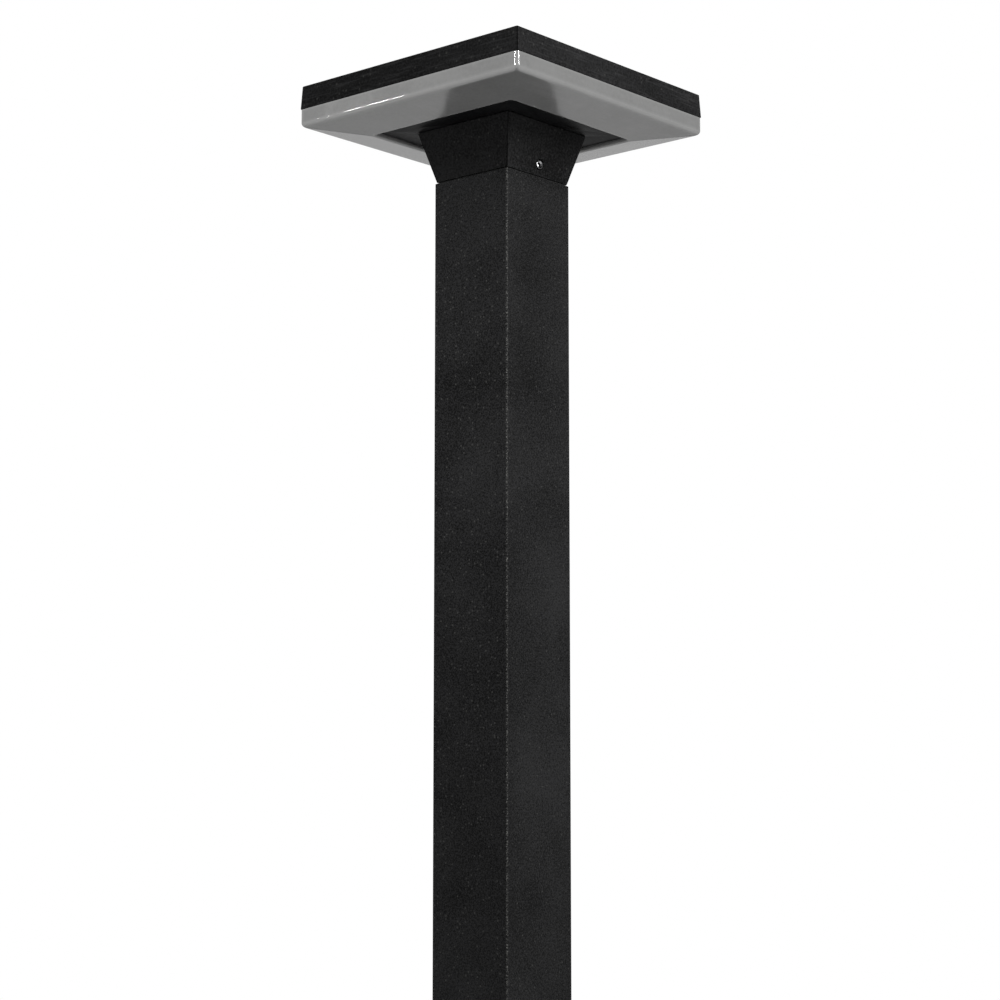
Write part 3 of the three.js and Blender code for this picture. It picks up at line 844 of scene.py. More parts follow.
def rounded_lines(corners: Sequence[tuple[float, float, float, float]], looped: bool,
                  steps: int = 5) -> list[Line]:
    """Rounds the corners of a section.

    Args:
        corners: Half width, plan corner radius, height and rounding radius of each corner.
        looped: Whether the section closes on itself.
        steps: Segments in each rounding.

    Returns:
        The section's lines.
    """
    lines = []
    count = len(corners)
    for index, (half, plan, z, radius) in enumerate(corners):
        at_end = not looped and index in (0, count - 1)
        if radius <= 0 or at_end:
            lines.append(Line(half, plan, z))
            continue
        spot = Vector((half, z))
        before = Vector((corners[index - 1][0], corners[index - 1][2])) - spot
        after_corner = corners[(index + 1) % count]
        after = Vector((after_corner[0], after_corner[2])) - spot
        angle = before.angle(after)
        reach = radius / math.tan(angle / 2)
        first = spot + before.normalized() * reach
        last = spot + after.normalized() * reach
        middle = (before.normalized() + after.normalized()).normalized()
        centre = spot + middle * (radius / math.sin(angle / 2))
        start, end = first - centre, last - centre
        sweep = start.angle_signed(end)
        for step in range(steps + 1):
            turn = Matrix.Rotation(-sweep * step / steps, 2)
            point = centre + turn @ start
            lines.append(Line(point.x, plan, point.y))
    return lines


class Piece:
    """Makes one finished mesh object and puts it on its body."""

    SHARP = math.radians(32)
    RIDGE = math.radians(10)
    STEEP = 0.9
    SAME_SPOT = 1e-7

    @staticmethod
    def from_mesh(name: str, mesh: EditMesh, finish: Finish, body: Body,
                  stands_for: Sequence[str] = (), upright: bool = False) -> bpy.types.Object:
        """Turns an edit mesh into a piece with marked edges and flat flats.

        Args:
            name: The piece's name.
            mesh: Its edit mesh, which is freed.
            finish: Its material and slot.
            body: The body it rides on.
            stands_for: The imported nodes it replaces.
            upright: Marks only its upright edges.

        Returns:
            The new object.
        """
        bmesh.ops.remove_doubles(mesh, verts=mesh.verts, dist=Piece.SAME_SPOT)
        bmesh.ops.recalc_face_normals(mesh, faces=mesh.faces)
        Piece.crease(mesh)
        data = bpy.data.meshes.new(name)
        mesh.normal_update()
        ridges = [Piece.ridge(vertex, upright) for vertex in mesh.verts]
        mesh.to_mesh(data)
        mesh.free()
        marks = data.attributes.new("edge", "FLOAT", "POINT")
        marks.data.foreach_set("value", ridges)
        piece = bpy.data.objects.new(name, data)
        bpy.context.scene.collection.objects.link(piece)
        data.materials.append(finish.material)
        piece.modifiers.new("flat_faces", "WEIGHTED_NORMAL").keep_sharp = True
        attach(piece, body.value)
        if stands_for:
            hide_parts(*stands_for)
        LOG.info("made %s on %s", name, body.value)
        return piece

    @staticmethod
    def crease(mesh: EditMesh) -> None:
        """Shades a mesh smooth, and keeps its hard corners hard."""
        for face in mesh.faces:
            face.smooth = True
        for edge in mesh.edges:
            edge.smooth = len(edge.link_faces) != 2 or edge.calc_face_angle() < Piece.SHARP

    @staticmethod
    def ridge(vertex: bmesh.types.BMVert, upright: bool) -> float:
        """Returns how strongly a point sits on an outward edge, from 0 to 1."""
        sharpest = 0.0
        for edge in vertex.link_edges:
            ends = edge.verts[1].co - edge.verts[0].co
            level = abs(ends.z) < Piece.STEEP * ends.length
            if len(edge.link_faces) == 2 and not (upright and level):
                sharpest = max(sharpest, edge.calc_face_angle_signed(0.0))
        return min(1.0, sharpest / Piece.RIDGE)


def skin(mesh: EditMesh, rings: Sequence[Ring], looped: bool) -> None:
    """Joins rings of points into a closed skin.

    Args:
        mesh: The edit mesh to add to.
        rings: Rings with the same number of points.
        looped: Joins the last ring to the first; otherwise both ends are filled.
    """
    rows = [[mesh.verts.new(point) for point in ring] for ring in rings]
    count = len(rows[0])
    spans = len(rows) if looped else len(rows) - 1
    for index in range(spans):
        low, high = rows[index], rows[(index + 1) % len(rows)]
        for step in range(count):
            after = (step + 1) % count
            mesh.faces.new((low[step], low[after], high[after], high[step]))
    if not looped:
        mesh.faces.new(list(reversed(rows[0])))
        mesh.faces.new(rows[-1])


def square_turn(mesh: EditMesh, section: Sequence[Line], looped: bool,
                steps: int = 8, hold: float = 2 * MM) -> None:
    """Adds a square block or ring whose section runs round the four sides.

    Args:
        mesh: The edit mesh to add to.
        section: The section's lines.
        looped: Whether it closes on itself, as for a ring.
        steps: Segments in each plan corner.
        hold: Width of the bands that keep the flats flat.
    """
    rings = []
    for line in held(section, looped, hold):
        outline = rounded_square(line.half, line.corner, steps, hold)
        rings.append([(x, y, line.z) for x, y in outline])
    skin(mesh, rings, looped)


@dataclass(frozen=True)
class Turn:
    """One line of a turned part: its radius, its height and how many sides it has."""

    radius: float
    z: float
    sides: int = 0


def turned(mesh: EditMesh, section: Sequence[Turn], looped: bool, spot: Vector,
           count: int = 36, lay: Matrix | None = None) -> None:
    """Adds a turned part, round or many-sided by stages.

    Args:
        mesh: The edit mesh to add to.
        section: The part's lines, along its axis.
        looped: Whether it closes on itself, as a washer does.
        spot: Where its axis starts.
        count: Points round it.
        lay: Turn from +Z to its axis.
    """
    turn = lay or Matrix.Identity(3)
    rings = []
    for line in section:
        ring = []
        for index in range(count):
            angle = 2 * math.pi * index / count
            reach = line.radius
            if line.sides:
                share = math.pi / line.sides
                reach *= math.cos(share) / math.cos((angle % (2 * share)) - share)
            point = Vector((reach * math.cos(angle), reach * math.sin(angle), line.z))
            ring.append(tuple(spot + turn @ point))
        rings.append(ring)
    skin(mesh, rings, looped)


def slab(mesh: EditMesh, low: Vector, high: Vector, rounding: float,
         steps: int = 3) -> None:
    """Adds a box with rounded edges.

    Args:
        mesh: The edit mesh to add to.
        low: Its lowest corner.
        high: Its highest corner.
        rounding: Radius of its edges.
        steps: Segments in each edge.
    """
    part = bmesh.new()
    bmesh.ops.create_cube(part, size=1.0)
    size = high - low
    for vertex in part.verts:
        vertex.co = Vector((vertex.co[axis] * size[axis] for axis in range(3))) + (low + high) / 2
    bmesh.ops.bevel(part, geom=list(part.edges), offset=rounding, segments=steps,
                    profile=0.5, affect="EDGES")
    copy = bpy.data.meshes.new("slab")
    part.to_mesh(copy)
    part.free()
    mesh.from_mesh(copy)
    bpy.data.meshes.remove(copy)


def carved(piece: bpy.types.Object, fill: Callable[[EditMesh], None]) -> None:
    """Cuts a shape out of a piece.

    Args:
        piece: The piece, whose mesh is replaced.
        fill: Draws the shape to cut into an edit mesh.
    """
    cutter_mesh = bmesh.new()
    fill(cutter_mesh)
    bmesh.ops.recalc_face_normals(cutter_mesh, faces=cutter_mesh.faces)
    data = bpy.data.meshes.new("cutter")
    cutter_mesh.to_mesh(data)
    cutter_mesh.free()
    cutter = bpy.data.objects.new("cutter", data)
    bpy.context.scene.collection.objects.link(cutter)
    cut = piece.modifiers.new("cut", "BOOLEAN")
    cut.object = cutter
    cut.operation = "DIFFERENCE"
    cut.solver = "EXACT"
    piece.modifiers.move(len(piece.modifiers) - 1, 0)
    flats = piece.modifiers["flat_faces"]
    flats.show_viewport = False
    graph = bpy.context.evaluated_depsgraph_get()
    result = bpy.data.meshes.new_from_object(piece.evaluated_get(graph), depsgraph=graph)
    flats.show_viewport = True
    piece.modifiers.remove(cut)
    creased = bmesh.new()
    creased.from_mesh(result)
    Piece.crease(creased)
    creased.to_mesh(result)
    creased.free()
    old = piece.data
    piece.data = result
    bpy.data.meshes.remove(old)
    bpy.data.objects.remove(cutter)
    bpy.data.meshes.remove(data)


def corner_slots(cut: EditMesh, ends: Sequence[tuple[float, float]], width: float,
                 depth: float) -> None:
    """Draws a slot along each of the four upright corners of a square part.

    Args:
        cut: The edit mesh to add to.
        ends: The part's half width and the height at the slots' two ends.
        width: The slots' width.
        depth: How far in from the corner they reach.
    """
    for side_x in (1, -1):
        for side_y in (1, -1):
            outward = Vector((side_x, side_y)).normalized()
            across = Vector((-outward.y, outward.x)) * width / 2
            rings = []
            for half, z in ends:
                spot = Vector((half * side_x, half * side_y))
                outer, inner = spot + outward * 2 * MM, spot - outward * depth
                ring = [outer - across, outer + across, inner + across, inner - across]
                rings.append([(point.x, point.y, z) for point in ring])
            skin(cut, rings, False)


def middle_of(name: str) -> Vector:
    """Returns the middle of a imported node's box."""
    low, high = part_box(name)
    return (low + high) / 2


def dress(names: Iterable[str], finish: Finish, softness: float = 0.25 * MM) -> None:
    """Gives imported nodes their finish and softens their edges.

    Args:
        names: The nodes.
        finish: Their material and slot.
        softness: Width of the softened edges, or 0 to leave them.
    """
    for name in names:
        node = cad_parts[name]
        node.data.materials.clear()
        node.data.materials.append(finish.material)
        node.data.polygons.foreach_set("use_smooth", [True] * len(node.data.polygons))
        weld = node.modifiers.new("joined_points", "WELD")
        weld.merge_threshold = 1e-6
        if softness:
            edges = node.modifiers.new("soft_edges", "BEVEL")
            edges.width = softness
            edges.segments = 2
            edges.limit_method = "ANGLE"
            edges.angle_limit = math.radians(35)
            edges.harden_normals = True
        LOG.info("dressed %s in %s", name, finish.material.name)


# ------------------------------------------------------------------ the light's sub-assemblies


@dataclass
class StandingPost:
    """The post with its foot, weld, spigot and top seal."""

    finishes: Finishes
    wall: float = 3 * MM
    corner: float = 1.5 * MM
    end_rounding: float = 0.4 * MM
    weld_points: int = 480
    weld_ripple: float = 3.2 * MM
    weld_gap: float = 0.1 * MM
    weld_fill: float = 0.86
    weld_wave: float = 0.12
    weld_profile: tuple[tuple[float, float], ...] = (
        (0.0, 0.0), (0.97, 0.0), (0.86, 0.3), (0.62, 0.62), (0.3, 0.86), (0.0, 0.97))

    def tube(self) -> None:
        """Builds the extruded post."""
        low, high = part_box("post")
        inner = high.x - self.wall
        section = rounded_lines([
            (high.x, self.corner, low.z, self.end_rounding),
            (high.x, self.corner, high.z, self.end_rounding),
            (inner, self.corner / 2, high.z, self.end_rounding),
            (inner, self.corner / 2, low.z, self.end_rounding),
        ], True, 3)
        mesh = bmesh.new()
        square_turn(mesh, section, True)
        Piece.from_mesh("post_tube", mesh, self.finishes.post_coat_highlit, Body.POST, ["post"], True)

    def weld_bead(self) -> None:
        """Builds the rippled weld round the post's foot."""
        low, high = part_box("base_weld")
        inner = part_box("post")[1].x + self.weld_gap
        leg = high.x - inner
        path = rounded_square(inner, self.corner, 6, 2 * MM)
        points = self.evenly(path)
        rings = []
        travelled = 0.0
        for index, (x, y) in enumerate(points):
            before = Vector(points[index - 1])
            after = Vector(points[(index + 1) % len(points)])
            outward = Vector(((after - before).y, -(after - before).x)).normalized()
            travelled += (Vector((x, y)) - before).length
            wave = abs(math.sin(math.pi * travelled / self.weld_ripple))
            full = leg * (self.weld_fill + self.weld_wave * wave)
            rings.append([(x + outward.x * reach * full, y + outward.y * reach * full,
                           low.z + rise * full) for reach, rise in self.weld_profile])
        mesh = bmesh.new()
        skin(mesh, rings, True)
        Piece.from_mesh("weld_bead", mesh, self.finishes.coat, Body.POST, ["base_weld"])

    def evenly(self, path: Sequence[tuple[float, float]]) -> list[tuple[float, float]]:
        """Spaces points evenly round a closed path.

        Args:
            path: The path's own points.

        Returns:
            As many even points as the weld has.
        """
        closed = [Vector(point) for point in path] + [Vector(path[0])]
        lengths = [0.0]
        for start, end in zip(closed, closed[1:]):
            lengths.append(lengths[-1] + (end - start).length)
        points = []
        span = 0
        for index in range(self.weld_points):
            target = lengths[-1] * index / self.weld_points
            while lengths[span + 1] < target:
                span += 1
            share = (target - lengths[span]) / (lengths[span + 1] - lengths[span])
            points.append(tuple(closed[span].lerp(closed[span + 1], share)))
        return points

    def build(self) -> None:
        """Builds and dresses the whole standing part."""
        self.tube()
        self.weld_bead()
        dress(["base_plate"], self.finishes.coat, softness=0.8 * MM)
        dress(["post_spigot"], self.finishes.aluminium, softness=0.4 * MM)
        dress(["neck_seal"], self.finishes.rubber, softness=0.15 * MM)


@dataclass
class Neck:
    """The flared casting with its set screws and the long screws inside it."""

    finishes: Finishes
    wall: float = 3 * MM
    web: float = 4 * MM
    web_hole: float = 22 * MM
    corner: float = 1.0 * MM
    rounding: float = 0.5 * MM
    groove_width: float = 1.4 * MM
    groove_depth: float = 2 * MM
    boss_half_width: float = 8 * MM
    boss_half_height: float = 7 * MM
    boss_face: float = 35.8 * MM
    boss_overlap: float = 0.5 * MM
    boss_rounding: float = 0.6 * MM
    step_in: float = 0.9 * MM
    through_hole: float = 2.8 * MM
    thread_clearance: float = 0.5 * MM
    thread_pitch: float = 1.25 * MM
    thread_depth: float = 0.45 * MM
    socket_radius: float = 2.2 * MM
    socket_depth: float = 3 * MM

    def casting(self) -> None:
        """Builds the neck with its corner grooves, screw bosses and holes."""
        low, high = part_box("neck")
        bottom_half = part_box("post")[1].x - self.step_in
        lean = (high.x - bottom_half) / (high.z - low.z)
        web_low = high.z - self.web
        inner_low = bottom_half - self.wall
        inner_high = inner_low + lean * (web_low - low.z)
        section = rounded_lines([
            (bottom_half, self.corner, low.z, self.rounding),
            (high.x, self.corner, high.z, self.rounding),
            (self.web_hole, 3 * self.corner, high.z, self.rounding),
            (self.web_hole, 3 * self.corner, web_low, self.rounding),
            (inner_high, self.corner, web_low, 0.0),
            (inner_low, self.corner, low.z, self.rounding),
        ], True, 3)
        mesh = bmesh.new()
        square_turn(mesh, section, True, 6)
        casting = Piece.from_mesh("neck_casting", mesh, self.finishes.coat, Body.HEAD, ["neck"])
        screw_z = middle_of("set_screw_right").z
        wall_there = bottom_half + lean * (screw_z - low.z)
        carved(casting, lambda cut: self.holes(cut, screw_z, wall_there, web_low, high.z))
        ends = ((bottom_half, low.z - 0.01 * MM), (high.x, high.z + 0.01 * MM))
        carved(casting, lambda cut: corner_slots(cut, ends, self.groove_width, self.groove_depth))
        self.bosses(screw_z, wall_there)

    def holes(self, cut: EditMesh, z: float, wall: float, web_low: float,
              top: float) -> None:
        """Draws the set screws' bores and the web's four screw holes."""
        low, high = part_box("set_screw_right")
        bore = (high.z - low.z) / 2 + self.thread_clearance
        for side in (1, -1):
            lay = Matrix.Rotation(side * math.pi / 2, 3, "Y")
            start = Vector((side * (wall - 2 * self.wall), 0, z))
            turned(cut, [Turn(bore, 0), Turn(bore, 4 * self.wall)], False, start, lay=lay)
        for index in range(1, 5):
            spot = middle_of(f"head_screw_{index}")
            spot.z = web_low - 1 * MM
            depth = top - web_low + 2 * MM
            turned(cut, [Turn(self.through_hole, 0), Turn(self.through_hole, depth)], False, spot)

    def bosses(self, z: float, wall: float) -> None:
        """Builds the two blocks inside the neck that the set screws thread through."""
        mesh = bmesh.new()
        reach = wall - self.wall + self.boss_overlap
        for side in (1, -1):
            ends = sorted((side * self.boss_face, side * reach))
            slab(mesh, Vector((ends[0], -self.boss_half_width, z - self.boss_half_height)),
                 Vector((ends[1], self.boss_half_width, z + self.boss_half_height)),
                 self.boss_rounding)
        bosses = Piece.from_mesh("neck_screw_bosses", mesh, self.finishes.coat, Body.HEAD)
        low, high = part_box("set_screw_right")
        bore = (high.z - low.z) / 2 + self.thread_clearance

        def bores(cut: EditMesh) -> None:
            """Draws one bore through both blocks."""
            lay = Matrix.Rotation(math.pi / 2, 3, "Y")
            turned(cut, [Turn(bore, 0), Turn(bore, 2 * wall)], False, Vector((-wall, 0, z)), lay=lay)

        carved(bosses, bores)

    def set_screw(self, node: str, side: int) -> None:
        """Builds a threaded set screw with a hexagon socket.

        Args:
            node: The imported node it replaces.
            side: 1 for the screw that faces +X, -1 for the one that faces -X.
        """
        low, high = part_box(node)
        radius = (high.z - low.z) / 2
        length = high.x - low.x
        root = radius - self.thread_depth
        section = [Turn(root - 0.9 * MM, 0), Turn(root, 0.6 * MM)]
        turns = int((length - 1.5 * MM) / self.thread_pitch)
        for index in range(turns):
            start = 0.7 * MM + index * self.thread_pitch
            section += [Turn(root, start), Turn(radius, start + 0.4 * self.thread_pitch),
                        Turn(radius, start + 0.6 * self.thread_pitch)]
        mouth = self.socket_radius
        section += [Turn(root + 0.2 * MM, length - 0.7 * MM), Turn(root + 0.2 * MM, length - 0.5 * MM),
                    Turn(root, length - 0.12 * MM), Turn(root - 0.25 * MM, length),
                    Turn(root - 0.5 * MM, length), Turn(mouth + 0.5 * MM, length - 0.45 * MM),
                    Turn(mouth, length - 0.9 * MM, 6), Turn(mouth, length - self.socket_depth, 6),
                    Turn(0.3 * MM, length - self.socket_depth - 0.7 * MM)]
        mesh = bmesh.new()
        foot = low.x if side > 0 else high.x
        lay = Matrix.Rotation(side * math.pi / 2, 3, "Y")
        turned(mesh, section, False, Vector((foot, 0, (low.z + high.z) / 2)), 48, lay)
        Piece.from_mesh(f"{node}_threaded", mesh, self.finishes.dark_steel, Body.HEAD, [node])

    def build(self) -> None:
        """Builds and dresses the neck and its screws."""
        self.casting()
        self.set_screw("set_screw_right", 1)
        self.set_screw("set_screw_left", -1)
        dress([f"head_screw_{index}" for index in range(1, 5)], self.finishes.stainless, softness=0.2 * MM)


@dataclass
class LampShell:
    """The cap, the opal ring below it, the recessed plate and their gaskets."""

    finishes: Finishes
    cap_wall: float = 5 * MM
    cap_roof: float = 3.5 * MM
    cap_corner: float = 0.8 * MM
    cap_inner_corner: float = 2 * MM
    cap_top_inset: float = 1.1 * MM
    cap_top_rounding: float = 0.7 * MM
    cap_fillet: float = 2 * MM
    flat_band: float = 12 * MM
    fit_gap: float = 0.3 * MM
    seam_width: float = 0.8 * MM
    seam_depth: float = 2 * MM
    lip_rounding: float = 0.5 * MM
    ring_wall: float = 3 * MM
    ring_corner: float = 3 * MM
    ring_inner_corner: float = 2 * MM
    rebate_wall: float = 1.3 * MM
    rebate_depth: float = 1 * MM
    opening_corner: float = 3 * MM
    opening_half: float = 75.1 * MM
    opening_rounding: float = 3 * MM
    opening_drop: float = 0.488 * MM
    seat_half: float = 89 * MM
    seat_rise: float = 5.1 * MM
    edge_rise: float = 6.8 * MM
    edge_rounding: float = 3.8 * MM
    boss_radius: float = 6.5 * MM
    boss_hole: float = 2.8 * MM
    tray_boss_radius: float = 4 * MM
    tray_boss_hole: float = 1.8 * MM

    def cap(self) -> None:
        """Builds the cap with its screw bosses."""
        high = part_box("cap")[1]
        low_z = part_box("rim_gasket")[1].z + self.fit_gap
        top_half = high.x - self.cap_top_inset
        ceiling = high.z - self.cap_roof
        inner = high.x - self.cap_wall
        section = rounded_lines([
            (inner - 9 * MM, self.cap_inner_corner, ceiling, 0.0),
            (inner - 1 * MM, self.cap_inner_corner, ceiling, self.cap_fillet),
            (inner, self.cap_inner_corner, low_z, self.lip_rounding),
            (high.x, self.cap_corner, low_z, self.lip_rounding),
            (top_half, self.cap_corner, high.z, self.cap_top_rounding),
            (top_half - self.flat_band, self.cap_corner, high.z, 0.0),
        ], False, 4)
        mesh = bmesh.new()
        square_turn(mesh, section, False, 10)
        for index in range(1, 5):
            self.boss(mesh, f"head_screw_{index}", self.boss_radius, self.boss_hole,
                      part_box("recess_plate")[1].z + self.fit_gap, ceiling)
            self.boss(mesh, f"tray_screw_{index}", self.tray_boss_radius, self.tray_boss_hole,
                      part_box("led_tray")[1].z + self.fit_gap, ceiling)
        casting = Piece.from_mesh("cap_casting", mesh, self.finishes.cap_coat, Body.HEAD, ["cap"], True)
        ends = ((high.x, low_z - 0.01 * MM), (top_half, high.z - 0.6 * MM))
        carved(casting, lambda cut: corner_slots(cut, ends, self.seam_width, self.seam_depth))

    @staticmethod
    def boss(mesh: EditMesh, screw: str, radius: float, hole: float, bottom: float,
             ceiling: float) -> None:
        """Adds a drilled boss over a screw.

        Args:
            mesh: The cap's edit mesh.
            screw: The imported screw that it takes.
            radius: Its outer radius.
            hole: The blind hole's radius.
            bottom: Where it ends.
            ceiling: The cap's inside.
        """
        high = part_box(screw)[1]
        spot = middle_of(screw) * Vector((1, 1, 0))
        turned(mesh, [
            Turn(hole * 0.2, high.z + 1.2 * MM), Turn(hole, high.z + 1 * MM),
            Turn(hole, bottom + 0.4 * MM), Turn(hole + 0.4 * MM, bottom),
            Turn(radius - 0.3 * MM, bottom), Turn(radius, bottom + 0.3 * MM),
            Turn(radius + 0.4 * MM, ceiling - 0.8 * MM), Turn(radius + 1.4 * MM, ceiling + 0.4 * MM),
        ], False, spot, 28)

    def opal_ring(self) -> None:
        """Builds the diffuser: upright side, rounded edge, and an underside that falls inwards."""
        low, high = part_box("diffuser")
        foot = low.z - self.opening_drop
        edge_z = foot + self.edge_rise
        inner = high.x - self.ring_wall
        rebate = high.x - self.rebate_wall
        fall = self.edge_rise / (high.x - self.opening_half)
        floor = edge_z + self.ring_wall - (self.ring_wall + self.edge_rounding) * fall
        seat = foot + self.seat_rise
        section = rounded_lines([
            (self.opening_half, self.opening_corner, foot, self.opening_rounding),
            (high.x, self.ring_corner, edge_z, self.edge_rounding),
            (high.x, self.ring_corner, high.z, 0.25 * MM),
            (rebate, self.ring_inner_corner, high.z, 0.0),
            (rebate, self.ring_inner_corner, high.z - self.rebate_depth, 0.0),
            (inner, self.ring_inner_corner, high.z - self.rebate_depth, 0.0),
            (inner, self.ring_inner_corner, floor, self.edge_rounding),
            (self.seat_half, self.opening_corner, seat, 0.0),
            (self.opening_half, self.opening_corner, seat, self.lip_rounding),
        ], True, 8)
        mesh = bmesh.new()
        square_turn(mesh, section, True, 10)
        Piece.from_mesh("opal_ring", mesh, self.finishes.opal, Body.HEAD, ["diffuser"])

    def build(self) -> None:
        """Builds and dresses the shell."""
        self.cap()
        self.opal_ring()
        dress(["recess_plate"], self.finishes.plate, softness=0.3 * MM)
        dress(["lip_gasket", "rim_gasket"], self.finishes.rubber, softness=0.1 * MM)


@dataclass
class LightSource:
    """The LED boards on their tray, and the white wall inside them."""

    finishes: Finishes
    ring: float = 94 * MM
    length: float = 166 * MM
    width: float = 16 * MM
    thickness: float = 1.6 * MM
    packages: int = 6
    pitch: float = 28 * MM
    package_half: float = 2.5 * MM
    package_height: float = 0.9 * MM
    pad_half: float = 1.1 * MM
    pad_overhang: float = 0.5 * MM
    end_pad_half: float = 1.6 * MM
    end_pad_inset: float = 6 * MM
    end_pad_spread: float = 3 * MM
    board_rounding: float = 0.25 * MM

    def spots(self) -> list[float]:
        """Returns where the LED packages sit along a board."""
        middle = (self.packages - 1) / 2
        return [(index - middle) * self.pitch for index in range(self.packages)]

    def board(self, quarter: Quarter) -> None:
        """Builds one board with its pads, LED packages and lenses.

        Args:
            quarter: The side of the head that it lies along.
        """
        side = quarter.name.lower()
        node = f"led_board_{side}"
        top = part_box(node)[1].z
        turn = Matrix.Rotation(quarter.value * math.pi / 2, 4, "Z")
        strip, pads, packages, lenses = (bmesh.new() for _ in range(4))
        slab(strip, Vector((-self.length / 2, -self.ring - self.width / 2, top - self.thickness)),
             Vector((self.length / 2, -self.ring + self.width / 2, top)), self.board_rounding, 2)
        face = top - self.thickness
        for x in self.spots():
            self.pad_pair(pads, x, face)
            self.package(packages, lenses, x, face)
        end = self.length / 2 - self.end_pad_inset
        for x in (-end, end):
            for across in (-self.end_pad_spread, self.end_pad_spread):
                self.pad(pads, x, -self.ring + across, face, self.end_pad_half)
        for mesh in (strip, pads, packages, lenses):
            bmesh.ops.transform(mesh, matrix=turn, verts=mesh.verts)
        Piece.from_mesh(f"{node}_strip", strip, self.finishes.board, Body.HEAD, [node])
        Piece.from_mesh(f"solder_pads_{side}", pads, self.finishes.tin, Body.HEAD)
        Piece.from_mesh(f"led_packages_{side}", packages, self.finishes.package, Body.HEAD)
        Piece.from_mesh(f"led_lenses_{side}", lenses, self.finishes.phosphor, Body.HEAD)

    def pad_pair(self, mesh: EditMesh, x: float, face: float) -> None:
        """Adds the two solder pads of a package."""
        for side in (1, -1):
            offset = side * (self.package_half + self.pad_overhang)
            self.pad(mesh, x + offset, -self.ring, face, self.pad_half)

    @staticmethod
    def pad(mesh: EditMesh, x: float, y: float, face: float, half: float) -> None:
        """Adds one low domed solder pad under a board's face."""
        turned(mesh, [
            Turn(half * 0.2, face - 0.22 * MM), Turn(half * 0.7, face - 0.18 * MM),
            Turn(half, face - 0.02 * MM), Turn(half, face + 0.1 * MM),
        ], False, Vector((x, y, 0)), 20)

    def package(self, packages: EditMesh, lenses: EditMesh, x: float,
                face: float) -> None:
        """Adds one LED: a tapered white package with a dished mouth, and its lens."""
        half, height = self.package_half, self.package_height
        turn = Matrix.Rotation(math.pi / 4, 3, "Z")
        spot = Vector((x, -self.ring, face))
        corner = half * math.sqrt(2)
        turned(packages, [
            Turn(corner, 0.1 * MM, 4), Turn(corner, -height * 0.4, 4),
            Turn(corner * 0.93, -height, 4), Turn(half * 0.85, -height),
            Turn(half * 0.7, -height * 0.45), Turn(half * 0.1, -height * 0.45),
        ], False, spot, 32, turn)
        turned(lenses, [
            Turn(half * 0.74, -height * 0.5), Turn(half * 0.78, -height * 0.78),
            Turn(half * 0.5, -height * 0.92), Turn(half * 0.12, -height * 0.97),
        ], False, spot, 32, turn)

    def build(self) -> None:
        """Builds and dresses the light source."""
        for quarter in Quarter:
            self.board(quarter)
        dress(["led_tray"], self.finishes.aluminium, softness=0.2 * MM)
        dress(["inner_reflector"], self.finishes.white, softness=0.15 * MM)
        dress([f"tray_screw_{index}" for index in range(1, 5)], self.finishes.stainless, softness=0.15 * MM)


